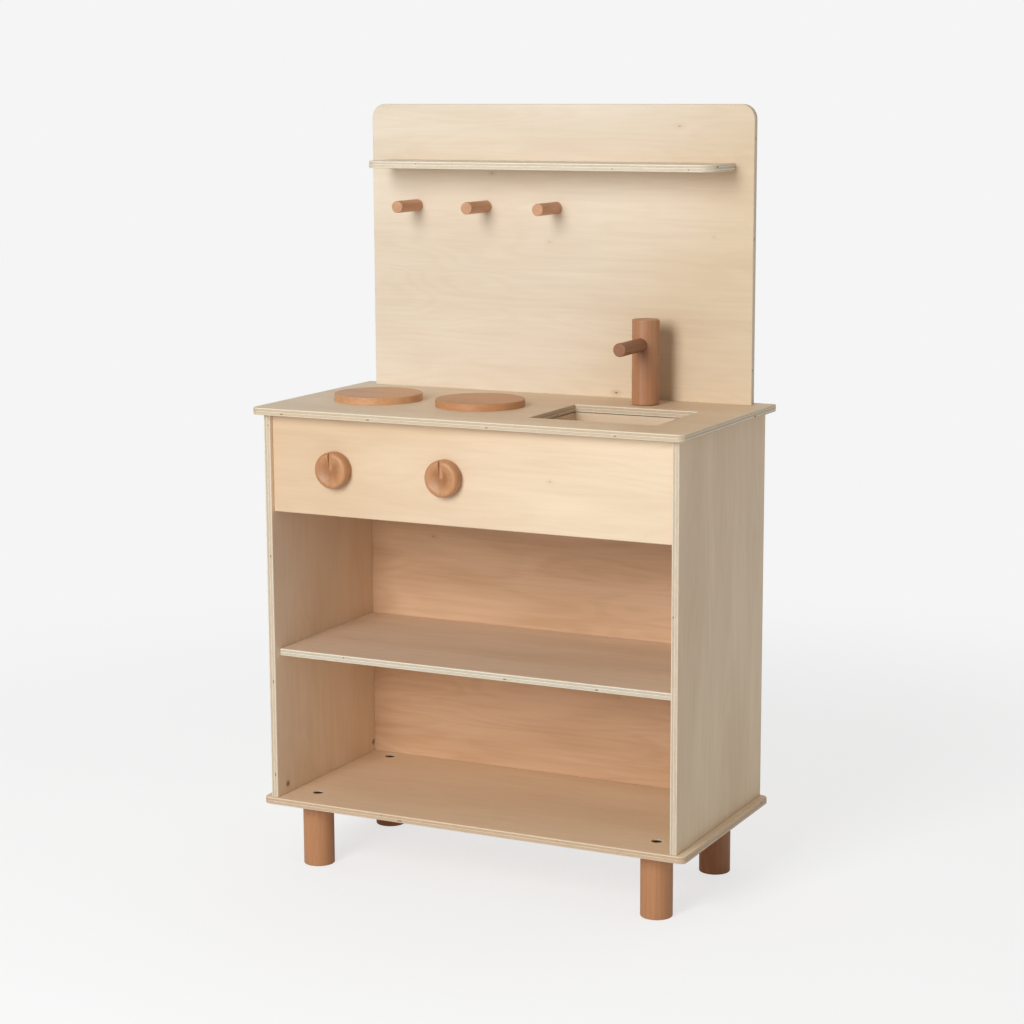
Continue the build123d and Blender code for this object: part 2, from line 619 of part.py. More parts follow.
# ---------------------------------------------------------------- knobs
knob_bolt_length = PLY + KNOB_WASHER_THICKNESS + 2 * TURN_GAP + BACK_WASHER_THICKNESS + KNOB_INSERT_LENGTH
knob_bolt = socket_bolt(
    KNOB_BOLT_HEAD_RADIUS, KNOB_BOLT_HEAD_HEIGHT, KNOB_BOLT_RADIUS, knob_bolt_length, KNOB_BOLT_SOCKET
)
knob_insert = threaded_sleeve(KNOB_INSERT_RADIUS, KNOB_BOLT_RADIUS + THREAD_SLIP, KNOB_INSERT_LENGTH)
bolt_head_y = FASCIA_REAR + BACK_WASHER_THICKNESS + TURN_GAP + KNOB_BOLT_HEAD_HEIGHT

for name, x in KNOB_XS.items():
    face = Plane(origin=(x, KNOB_BACK, KNOB_Z), x_dir=RIGHT, z_dir=FRONT)
    with BuildPart() as knob:
        with BuildSketch(face):
            Circle(KNOB_RADIUS)
        extrude(amount=KNOB_THICKNESS)
        # A shallow dish in the front face, as the cap of a ball
        ball_radius = (KNOB_DISH_RADIUS**2 + KNOB_DISH_DEPTH**2) / (2 * KNOB_DISH_DEPTH)
        with Locations(face.offset(KNOB_THICKNESS - KNOB_DISH_DEPTH + ball_radius)):
            Sphere(ball_radius, mode=Mode.SUBTRACT)
        # The pointer groove runs from the rim at the top towards the middle, with a round end
        with BuildSketch(face.offset(KNOB_THICKNESS)):
            with Locations((0, KNOB_RADIUS / 2 + KNOB_GROOVE_END)):
                Rectangle(KNOB_GROOVE_WIDTH, KNOB_RADIUS)
            with Locations((0, KNOB_GROOVE_END)):
                Circle(KNOB_GROOVE_WIDTH / 2)
        extrude(amount=-KNOB_GROOVE_DEPTH, mode=Mode.SUBTRACT)
        fillet(knob.faces().sort_by(Axis.Y)[-1].edges(), radius=WOOD_EDGE)
        drill([(x, KNOB_BACK, KNOB_Z)], REAR, KNOB_INSERT_RADIUS, KNOB_INSERT_LENGTH)
    save(knob, f"{name}_knob")
    save(fixing_group(knob_insert, [(x, KNOB_BACK, KNOB_Z)], REAR), f"{name}_knob_insert")
    save(fixing_group(knob_bolt, [(x, bolt_head_y, KNOB_Z)], REAR), f"{name}_knob_bolt")

front_washer = washer(KNOB_WASHER_RADIUS, KNOB_BOLT_RADIUS + SLIP, KNOB_WASHER_THICKNESS)
back_washer = washer(BACK_WASHER_RADIUS, KNOB_BOLT_RADIUS + SLIP, BACK_WASHER_THICKNESS)
save(fixing_group(front_washer, knob_spots, FRONT), "knob_front_washers")
knob_rear_spots = [(x, FASCIA_REAR, KNOB_Z) for x in KNOB_XS.values()]
save(fixing_group(back_washer, knob_rear_spots, REAR), "knob_back_washers")

# ---------------------------------------------------------------- tap
spout_z = WORKTOP_TOP + SPOUT_HEIGHT

with BuildPart() as tap_post:
    with BuildSketch(Plane(origin=(TAP_X, TAP_Y, TAP_FOOT))):
        Circle(TAP_RADIUS)
    extrude(amount=WORKTOP_TOP + TAP_HEIGHT - TAP_FOOT)
    fillet(tap_post.faces().filter_by(Axis.Z).edges(), radius=WOOD_EDGE)
    socket_mouth = [(TAP_X, TAP_Y - TAP_RADIUS, spout_z)]
    drill(socket_mouth, FRONT, SPOUT_RADIUS, TAP_RADIUS + SPOUT_SOCKET)
    drill([(TAP_X, TAP_Y, TAP_FOOT)], DOWN, INSERT_RADIUS, TAP_INSERT_LENGTH)
save(tap_post, "tap_post")

with BuildPart() as tap_spout:
    with BuildSketch(Plane(origin=(TAP_X, TAP_Y + SPOUT_SOCKET, spout_z), z_dir=FRONT)):
        Circle(SPOUT_RADIUS)
    extrude(amount=SPOUT_REACH + SPOUT_SOCKET)
    fillet(tap_spout.faces().sort_by(Axis.Y)[0].edges(), radius=WOOD_EDGE)
save(tap_spout, "tap_spout")

tap_insert = threaded_sleeve(INSERT_RADIUS, LEG_BOLT_RADIUS + THREAD_SLIP, TAP_INSERT_LENGTH)
save(fixing_group(tap_insert, [(TAP_X, TAP_Y, TAP_FOOT)], DOWN), "tap_insert")

tap_bolt_seat = WORKTOP_BOTTOM - BACK_WASHER_THICKNESS - TURN_GAP
tap_bolt_length = TAP_FOOT + TAP_BOLT_GRIP - tap_bolt_seat
tap_bolt = socket_bolt(
    TAP_BOLT_HEAD_RADIUS, TAP_BOLT_HEAD_HEIGHT, LEG_BOLT_RADIUS, tap_bolt_length, TAP_BOLT_SOCKET
)
tap_bolt_spot = (TAP_X, TAP_Y, tap_bolt_seat - TAP_BOLT_HEAD_HEIGHT)
save(fixing_group(tap_bolt, [tap_bolt_spot], DOWN), "tap_bolt")

slip_washer = washer(SLIP_WASHER_RADIUS, LEG_BOLT_RADIUS + SLIP, TAP_WASHER_THICKNESS)
save(fixing_group(slip_washer, [(TAP_X, TAP_Y, WORKTOP_TOP)], UP), "tap_slip_washer")
under_washer = washer(UNDER_WASHER_RADIUS, LEG_BOLT_RADIUS + SLIP, BACK_WASHER_THICKNESS)
save(fixing_group(under_washer, [(TAP_X, TAP_Y, WORKTOP_BOTTOM)], DOWN), "tap_under_washer")
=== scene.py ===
import math

import bmesh
import bpy
from bpy.props import FloatProperty, FloatVectorProperty, IntProperty, PointerProperty
from mathutils import Euler, Matrix, Vector


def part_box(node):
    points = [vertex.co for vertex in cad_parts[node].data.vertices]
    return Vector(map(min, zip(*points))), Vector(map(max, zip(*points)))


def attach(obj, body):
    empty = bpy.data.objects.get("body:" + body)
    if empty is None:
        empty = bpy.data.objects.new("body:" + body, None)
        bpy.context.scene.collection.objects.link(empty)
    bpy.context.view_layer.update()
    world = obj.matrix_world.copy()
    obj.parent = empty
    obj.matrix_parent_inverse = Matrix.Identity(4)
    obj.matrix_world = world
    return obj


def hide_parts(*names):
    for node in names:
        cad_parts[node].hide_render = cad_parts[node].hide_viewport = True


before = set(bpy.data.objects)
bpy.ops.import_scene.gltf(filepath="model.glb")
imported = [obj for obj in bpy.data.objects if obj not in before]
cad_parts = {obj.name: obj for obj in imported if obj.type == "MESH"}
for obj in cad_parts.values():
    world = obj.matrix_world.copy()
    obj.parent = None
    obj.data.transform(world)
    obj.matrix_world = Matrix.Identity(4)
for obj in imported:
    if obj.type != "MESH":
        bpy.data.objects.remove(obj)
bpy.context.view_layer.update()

bl_info = {
    "name": "Wooden toy kitchen",
    "version": (1, 0, 0),
    "blender": (4, 5, 0),
    "location": "3D View > Sidebar > Kitchen",
    "description": "Builds the plywood, beech and metal pieces of a toy kitchen around its frame",
    "category": "Object",
}

MM = 0.001
X_AXIS, Y_AXIS, Z_AXIS = Vector((1, 0, 0)), Vector((0, 1, 0)), Vector((0, 0, 1))
CABINET, TAP = "cabinet", "tap_set"
SIDES = ("left", "right")
PLY_THICKNESS = (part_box("worktop")[1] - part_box("worktop")[0]).z
CREASE = math.radians(30)  # edges that turn more than this are eased
RING_SPACING = 2.7  # millimetres between the beech's rings
PLY_SHIFT = 41.7  # millimetres between the patterns of two plies
FIGURE_LINES = 62.0  # how closely the veneer's figure lines follow each other
PLAIN = (1.0, 1.0, 1.0)  # a tone that changes nothing
WHITE = (1.0, 1.0, 1.0, 1.0)
X, Y, Z = range(3)
SAME_POINT = 1e-6  # vertices nearer than this are merged
CUTTER_PROUD = 2 * MM  # how far a cutting shape stands out of the hole's mouth
NEAR = 1 * MM  # an edge this near to a face belongs to it
HIDDEN_ROUND, SMALL_HIDDEN_ROUND = 0.4 * MM, 0.3 * MM  # a turned end that sits on a board

# Corner radii of the boards
BASE_CORNER, WORKTOP_FRONT_CORNER, WORKTOP_REAR_CORNER = 9 * MM, 10 * MM, 3 * MM
SPLASHBACK_CORNER, LEDGE_CORNER = 19 * MM, 20 * MM

# Radius and depth of the holes that hold fixings
LEG_BOLT_POCKET = (7 * MM, 3.3 * MM)
SPLASHBACK_BOLT_POCKET = (4.1 * MM, 2 * MM)
BARREL_NUT_HOLE = (4.15 * MM, 8.2 * MM)
BASE_BOLT_SLACK, BASE_BOLT_DEPTH = 0.25 * MM, 2 * MM
KNOB_BOLT_RADIUS, TAP_BOLT_RADIUS = 2.75 * MM, 3.25 * MM  # holes that run right through

# Turns that carry the grain onto X and the board's depth onto Z, by grain and depth
QUARTER = math.radians(90)
GRAIN_TURNS = {"XY": (QUARTER, 0, 0), "ZX": (0, QUARTER, 0), "YZ": (0, 0, QUARTER)}


# ---------------------------------------------------------------- settings


class BoardSettings(bpy.types.PropertyGroup):
    """Sizes and colours of the plywood boards"""

    edge_round: FloatProperty(
        name="Edge rounding", description="Radius of exposed edges", default=1.5 * MM,
        unit="LENGTH",
    )
    joint_round: FloatProperty(
        name="Joint rounding", description="Radius of edges at a joint", default=0.3 * MM,
        unit="LENGTH",
    )
    joint_gap: FloatProperty(
        name="Joint gap", description="Hairline where boards meet", default=0.15 * MM, unit="LENGTH"
    )
    round_segments: IntProperty(name="Edge steps", description="Steps of a rounded edge", default=4)
    corner_segments: IntProperty(name="Corner steps", description="Steps of a corner", default=12)
    plies: IntProperty(name="Plies", description="Number of layers in a board", default=5)
    veneer_light: FloatVectorProperty(
        name="Veneer, light", description="Lightest colour of the face", size=3, subtype="COLOR",
        default=(0.80, 0.635, 0.455),
    )
    veneer_dark: FloatVectorProperty(
        name="Veneer, dark", description="Colour of the face's figure", size=3, subtype="COLOR",
        default=(0.64, 0.46, 0.29),
    )
    edge_long: FloatVectorProperty(
        name="Ply, long grain", description="Colour of a ply cut along", size=3, subtype="COLOR",
        default=(0.80, 0.715, 0.58),
    )
    edge_end: FloatVectorProperty(
        name="Ply, end grain", description="Colour of a ply cut across", size=3, subtype="COLOR",
        default=(0.60, 0.47, 0.315),
    )
    glue: FloatVectorProperty(
        name="Glue line", description="Colour between the plies", size=3, subtype="COLOR",
        default=(0.24, 0.15, 0.08),
    )
    knot: FloatVectorProperty(
        name="Knot", description="Colour of a pin knot", size=3, subtype="COLOR",
        default=(0.33, 0.12, 0.05),
    )


class TurningSettings(bpy.types.PropertyGroup):
    """Sizes and colours of the turned beech pieces"""

    edge_round: FloatProperty(
        name="Edge rounding", description="Radius of turned edges", default=1.2 * MM, unit="LENGTH"
    )
    steps: IntProperty(name="Steps", description="Steps around a turned piece", default=96)
    rim_round: FloatProperty(
        name="Rim rounding", description="Radius of a knob's rim", default=5 * MM, unit="LENGTH"
    )
    dish_ball: FloatProperty(
        name="Dish ball", description="Radius of a knob's hollow", default=50 * MM, unit="LENGTH"
    )
    groove_width: FloatProperty(
        name="Groove width", description="Width of the pointer", default=5.2 * MM, unit="LENGTH"
    )
    groove_depth: FloatProperty(
        name="Groove depth", description="Depth of the pointer", default=3.8 * MM, unit="LENGTH"
    )
    beech_light: FloatVectorProperty(
        name="Beech, light", description="Lightest colour of the beech", size=3, subtype="COLOR",
        default=(0.60, 0.325, 0.185),
    )
    beech_dark: FloatVectorProperty(
        name="Beech, dark", description="Colour of the beech's rings", size=3, subtype="COLOR",
        default=(0.42, 0.195, 0.10),
    )


class StageSettings(bpy.types.PropertyGroup):
    """Camera, light and floor"""

    camera_place: FloatVectorProperty(
        name="Camera", description="Where the camera stands", size=3, subtype="TRANSLATION",
        unit="LENGTH", default=(1.3833, -2.7868, 1.0288),
    )
    camera_turn: FloatProperty(
        name="Turn", description="Camera's turn to its left", default=math.radians(26.453),
        subtype="ANGLE",
    )
    camera_tilt: FloatProperty(
        name="Tilt", description="Camera's tilt down", default=math.radians(10.025), subtype="ANGLE"
    )
    camera_roll: FloatProperty(
        name="Roll", description="Camera's roll", default=math.radians(-0.254), subtype="ANGLE"
    )
    lens: FloatProperty(name="Lens", description="Focal length in millimetres", default=85.55)
    key_strength: FloatProperty(
        name="Key", description="Power of the main light", default=81, unit="POWER"
    )
    fill: FloatProperty(name="Fill", description="Light from all round", default=0.09)
    fill_above: FloatProperty(
        name="Fill from above", description="Added light from overhead", default=0.40
    )
    fill_behind: FloatProperty(
        name="Fill from behind", description="Added light from the rear", default=0.55
    )
    fill_right: FloatProperty(
        name="Fill from the right", description="Added light from the right", default=0.05
    )
    floor_glow: FloatProperty(
        name="Floor glow", description="Evens out the floor that is seen", default=0.672
    )
    floor_far: FloatProperty(
        name="Far floor", description="Light that comes off the far floor", default=0.48
    )
    floor_rear: FloatProperty(
        name="Rear floor", description="Added light off the floor behind", default=0.60
    )
    backdrop: FloatProperty(
        name="Backdrop", description="Brightness seen behind the object", default=0.913
    )


# ---------------------------------------------------------------- shaping


def middle(edge):
    """The middle point of an edge."""
    return (edge.verts[0].co + edge.verts[1].co) / 2


def runs_along(edge, axis):
    """True if the edge is parallel to the axis numbered 0, 1 or 2."""
    run = edge.verts[1].co - edge.verts[0].co
    return abs(run[axis]) > 0.999 * run.length


def board(low, high):
    """A plain board between two opposite corners."""
    bm = bmesh.new()
    bmesh.ops.create_cube(bm, size=1)
    bmesh.ops.scale(bm, vec=high - low, verts=bm.verts)
    bmesh.ops.translate(bm, vec=(low + high) / 2, verts=bm.verts)
    return bm


def board_of(node, gap=(0, 0, 0)):
    """A plain board where a CAD board is, shorter by the gap at both ends of each axis."""
    low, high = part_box(node)
    return board(low + Vector(gap), high - Vector(gap))


def stands_out(edge):
    """True if the edge is a sharp outer corner."""
    return edge.is_manifold and edge.calc_face_angle_signed() > CREASE


def round_edges(bm, edges, width, segments, clamp=False):
    """Rounds the edges by the width."""
    bmesh.ops.bevel(
        bm, geom=edges, offset=width, offset_type="OFFSET", segments=segments, profile=0.5,
        affect="EDGES", material=-1, clamp_overlap=clamp,
    )


def round_corners(bm, axis, radius, chosen=lambda place: True):
    """Rounds a board's corners as seen along the axis."""
    edges = [edge for edge in bm.edges if runs_along(edge, axis) and chosen(middle(edge))]
    round_edges(bm, edges, radius, bpy.context.scene.kitchen_boards.corner_segments)


def ease_edges(bm, chosen=lambda place, edge: True):
    """Rounds a board's exposed edges, before the holes, whose edges would get in its way."""
    boards = bpy.context.scene.kitchen_boards
    edges = [edge for edge in bm.edges if stands_out(edge) and chosen(middle(edge), edge)]
    round_edges(bm, edges, boards.edge_round, boards.round_segments)


def cut_window(bm, low, high):
    """Cuts a rectangular window with square corners down through a flat board."""
    for normal in (X_AXIS, Y_AXIS):
        for place in (low, high):
            everything = bm.verts[:] + bm.edges[:] + bm.faces[:]
            bmesh.ops.bisect_plane(bm, geom=everything, plane_co=place, plane_no=normal)
    inside = []
    for face in bm.faces:
        centre = face.calc_center_median()
        if low.x < centre.x < high.x and low.y < centre.y < high.y:
            inside.append(face)
    bmesh.ops.delete(bm, geom=inside, context="FACES")
    bmesh.ops.bridge_loops(bm, edges=[edge for edge in bm.edges if edge.is_boundary])
    bmesh.ops.recalc_face_normals(bm, faces=bm.faces)


def mesh_of(bm, name):
    """A mesh with the bmesh's shape."""
    mesh = bpy.data.meshes.new(name)
    bm.to_mesh(mesh)
    return mesh


def add_object(name, data):
    """An object in the scene."""
    made = bpy.data.objects.new(name, data)
    bpy.context.scene.collection.objects.link(made)
    return made


def carve(bm, cutter):
    """Takes the cutter's shape away from the piece."""
    piece, tool = [add_object("carving", mesh_of(shape, "carving")) for shape in (bm, cutter)]
    cut = piece.modifiers.new("cut", "BOOLEAN")
    cut.operation, cut.solver, cut.object = "DIFFERENCE", "EXACT", tool
    graph = bpy.context.evaluated_depsgraph_get()
    carved = bpy.data.meshes.new_from_object(piece.evaluated_get(graph))
    bm.clear()
    bm.from_mesh(carved)
    cutter.free()
    meshes = [carved, piece.data, tool.data]
    for made in (piece, tool):
        bpy.data.objects.remove(made)
    for mesh in meshes:
        bpy.data.meshes.remove(mesh)
    bmesh.ops.remove_doubles(bm, verts=bm.verts, dist=SAME_POINT)


def carve_box(bm, corner, opposite):
    """Takes away a box between any two opposite corners."""
    carve(bm, board(Vector(map(min, corner, opposite)), Vector(map(max, corner, opposite))))


def add_rod(bm, mouth, inward, radius, depth, segments=40, tip_radius=None):
    """Adds a rod to a cutter, from just outside the mouth to the depth inside it."""
    length = depth + CUTTER_PROUD
    made = bmesh.ops.create_cone(
        bm, cap_ends=True, segments=segments, radius1=radius,
        radius2=radius if tip_radius is None else tip_radius, depth=length,
    )
    turn = inward.to_track_quat("Z", "Y").to_matrix().to_4x4()
    place = Matrix.Translation(mouth + inward * (length / 2 - CUTTER_PROUD)) @ turn
    bmesh.ops.transform(bm, matrix=place, verts=made["verts"])


def sink_holes(bm, holes):
    """Sinks round holes, each a mouth, the direction inwards, a radius and a depth."""
    cutter = bmesh.new()
    for hole in holes:
        add_rod(cutter, *hole)
    carve(bm, cutter)


def arc(centre, radius, start, end, steps):
    """Points of a profile's arc, from one angle to another, in degrees."""
    points = []
    for step in range(steps + 1):
        angle = math.radians(start + (end - start) * step / steps)
        points.append((centre[0] + radius * math.cos(angle), centre[1] + radius * math.sin(angle)))
    return points


def rod_profile(radius, height, foot_round, top_round, steps=5):
    """Half section of a rod that stands on its axis, with its two edges rounded."""
    inset = 0.6  # loops this near the rim keep the flat ends flat
    points = [(0, 0), ((radius - foot_round) * inset, 0)]
    points += arc((radius - foot_round, foot_round), foot_round, -90, 0, steps)
    points += arc((radius - top_round, height - top_round), top_round, 0, 90, steps)
    points += [((radius - top_round) * inset, height), (0, height)]
    return points


def turned(profile, base, direction, steps):
    """Spins a half section about the direction through the base."""
    bm = bmesh.new()
    verts = [bm.verts.new((radius, 0, height)) for radius, height in profile]
    edges = [bm.edges.new(pair) for pair in zip(verts, verts[1:])]
    bmesh.ops.spin(
        bm, geom=verts + edges, cent=(0, 0, 0), axis=(0, 0, 1), angle=2 * math.pi, steps=steps,
        use_merge=True, use_duplicate=False,
    )
    bmesh.ops.remove_doubles(bm, verts=bm.verts, dist=SAME_POINT)
    bmesh.ops.recalc_face_normals(bm, faces=bm.faces)
    turn = direction.to_track_quat("Z", "Y").to_matrix().to_4x4()
    bmesh.ops.transform(bm, matrix=Matrix.Translation(base) @ turn, verts=bm.verts)
    return bm


def join(parts):
    """One mesh of several."""
    whole = bmesh.new()
    for part in parts:
        mesh = mesh_of(part, "part")
        part.free()
        whole.from_mesh(mesh)
        bpy.data.meshes.remove(mesh)
    return whole


def solids_of(node):
    """Low and high corners of each separate solid of a CAD node, in order along X, then Y."""
    bm = bmesh.new()
    bm.from_mesh(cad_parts[node].data)
    bmesh.ops.remove_doubles(bm, verts=bm.verts, dist=SAME_POINT)
    boxes, seen = [], set()
    for start in bm.verts:
        places, border = [], [start]
        while border:
            vert = border.pop()
            if vert not in seen:
                seen.add(vert)
                places.append(vert.co)
                border += [edge.other_vert(vert) for edge in vert.link_edges]
        if places:
            boxes.append((Vector(map(min, *places)), Vector(map(max, *places))))
    bm.free()
    return sorted(boxes, key=lambda box: (round(box[0].x, 4), round(box[0].y, 4)))


def centre_of(box):
    """The middle of a pair of corners."""
    return (box[0] + box[1]) / 2


def level_with(box, axis, level):
    """The middle of a pair of corners, carried along the axis to the level."""
    point = centre_of(box)
    point[axis] = level
    return point


def turned_rod(node, direction, foot_round, top_round):
    """A turned rod where a CAD rod is, from its foot along the direction."""
    low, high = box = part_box(node)
    axis = max(range(3), key=lambda number: abs(direction[number]))
    foot = level_with(box, axis, low[axis] if direction[axis] > 0 else high[axis])
    size = high - low
    profile = rod_profile(size.x / 2, size[axis], foot_round, top_round)
    return turned(profile, foot, direction, bpy.context.scene.kitchen_turnings.steps)


# ---------------------------------------------------------------- pieces


def make_piece(bm, name, body, material, replaced=None):
    """Turns a finished mesh into a piece that rides on its body and stands for its CAD node."""
    for face in bm.faces:
        face.smooth = True
    piece = add_object(name, mesh_of(bm, name))
    bm.free()
    piece.data.materials.append(material)
    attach(piece, body)
    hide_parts(replaced or name)
    return piece


def even_normals(piece):
    """Lets the large faces of a piece keep their own direction."""
    weighted = piece.modifiers.new("even_normals", "WEIGHTED_NORMAL")
    weighted.keep_sharp = True
    weighted.weight = 100


def finish_board(bm, node, material):
    """Makes a board a piece, with the edges at its joints and holes eased a little."""
    piece = make_piece(bm, f"{node}_board", CABINET, material, node)
    ease = piece.modifiers.new("eased_joints", "BEVEL")
    ease.limit_method, ease.angle_limit = "ANGLE", CREASE
    ease.width = bpy.context.scene.kitchen_boards.joint_round
    ease.segments, ease.profile = 2, 0.5
    ease.use_clamp_overlap = True
    even_normals(piece)


def finish_turning(bm, node, body, material):
    """Makes a turned mesh a beech piece."""
    even_normals(make_piece(bm, f"{node}_turned", body, material, node))


# ---------------------------------------------------------------- material helpers


class NodeDesk:
    """Adds nodes to a tree, with their inputs set or wired in the same line."""

    def __init__(self, tree):
        self.tree = tree

    def add(self, kind, inputs=None, **settings):
        """Adds a shader node and returns it."""
        node = self.tree.nodes.new(f"ShaderNode{kind}")
        for name, value in settings.items():
            setattr(node, name, value)
        for key, value in (inputs or {}).items():
            if isinstance(value, bpy.types.NodeSocket):
                self.tree.links.new(value, node.inputs[key])
            else:
                node.inputs[key].default_value = value
        return node

    def math(self, operation, first, second=0.0, third=0.0, clamp=False):
        """The result of one sum."""
        inputs = {0: first, 1: second, 2: third}
        return self.add("Math", inputs, operation=operation, use_clamp=clamp).outputs[0]

    def times(self, first, second, clamp=False):
        """Two numbers multiplied."""
        return self.math("MULTIPLY", first, second, clamp=clamp)

    def add_share(self, value, share, base, clamp=False):
        """The base with a share of the value added."""
        return self.math("MULTIPLY_ADD", value, share, base, clamp)

    def vector(self, operation, first, second):
        """The result of one vector sum."""
        return self.add("VectorMath", {0: first, 1: second}, operation=operation).outputs[0]

    def ramp(self, value, low, high, to_low=0.0, to_high=1.0):
        """The value carried smoothly from one range to another."""
        inputs = {"Value": value, 1: low, 2: high, 3: to_low, 4: to_high}
        return self.add("MapRange", inputs, interpolation_type="SMOOTHSTEP").outputs[0]

    def mix(self, factor, first, second, blend="MIX"):
        """Two colours mixed by the factor."""
        inputs = {0: factor, 6: first, 7: second}
        return self.add("Mix", inputs, data_type="RGBA", blend_type=blend).outputs[2]

    def tint(self, colour, tone):
        """A colour multiplied by a tone."""
        return self.mix(1.0, colour, tone, "MULTIPLY")

    def choose(self, factor, first, second):
        """Two numbers mixed by the factor."""
        return self.add("Mix", {0: factor, 2: first, 3: second}, data_type="FLOAT").outputs[0]

    def noise(self, place, stretch, detail=2.0, roughness=0.5, distortion=0.0):
        """Noise whose grains are as long as the stretch, in millimetres, on each axis."""
        scaled = self.vector("MULTIPLY", place, tuple(1 / length for length in stretch))
        inputs = {
            "Vector": scaled, "Scale": 1.0, "Detail": detail, "Roughness": roughness,
            "Distortion": distortion,
        }
        return self.add("TexNoise", inputs).outputs["Fac"]

    def wire(self, socket, node, name):
        """Joins an output to a node's input."""
        self.tree.links.new(socket, node.inputs[name])

    def split(self, vector):
        """The three parts of a vector."""
        return self.add("SeparateXYZ", {0: vector}).outputs

    def length(self, vector):
        """The length of a vector."""
        return self.add("VectorMath", {0: vector}, operation="LENGTH").outputs["Value"]

    def in_mm(self, vector):
        """A vector in millimetres."""
        return self.vector("MULTIPLY", vector, (1 / MM,) * 3)

    def object_place(self):
        """The piece's own coordinates."""
        return self.add("TexCoord").outputs["Object"]

    def glow(self, strength):
        """White light that comes off a surface."""
        return self.add("Emission", {"Color": WHITE, "Strength": strength}).outputs[0]

    def emboss(self, shader, height, depth):
        """Gives a shader fine relief."""
        relief = self.add("Bump", {"Strength": 1.0, "Distance": depth, "Height": height})
        self.wire(relief.outputs[0], shader, "Normal")


def opaque(colour):
    """A colour with its alpha."""
    return (*colour, 1.0)


def clear_desk(owner):
    """A desk on the emptied node tree of a material or a world."""
    owner.use_nodes = True
    owner.node_tree.nodes.clear()
    return NodeDesk(owner.node_tree)


def pattern_group(name, draw, extra_inputs):
    """A node group that takes a place in millimetres and gives colour, roughness and height."""
    if name in bpy.data.node_groups:
        return bpy.data.node_groups[name]
    tree = bpy.data.node_groups.new(name, "ShaderNodeTree")
    results = (("Colour", "Color"), ("Roughness", "Float"), ("Height", "Float"))
    for way, sockets in (("INPUT", (("Place", "Vector"), *extra_inputs)), ("OUTPUT", results)):
        for socket, kind in sockets:
            tree.interface.new_socket(socket, in_out=way, socket_type=f"NodeSocket{kind}")
    desk = NodeDesk(tree)
    drawn = draw(desk, tree.nodes.new("NodeGroupInput").outputs)
    end = tree.nodes.new("NodeGroupOutput")
    for result, (socket, _) in zip(drawn, results):
        desk.wire(result, end, socket)
    return tree


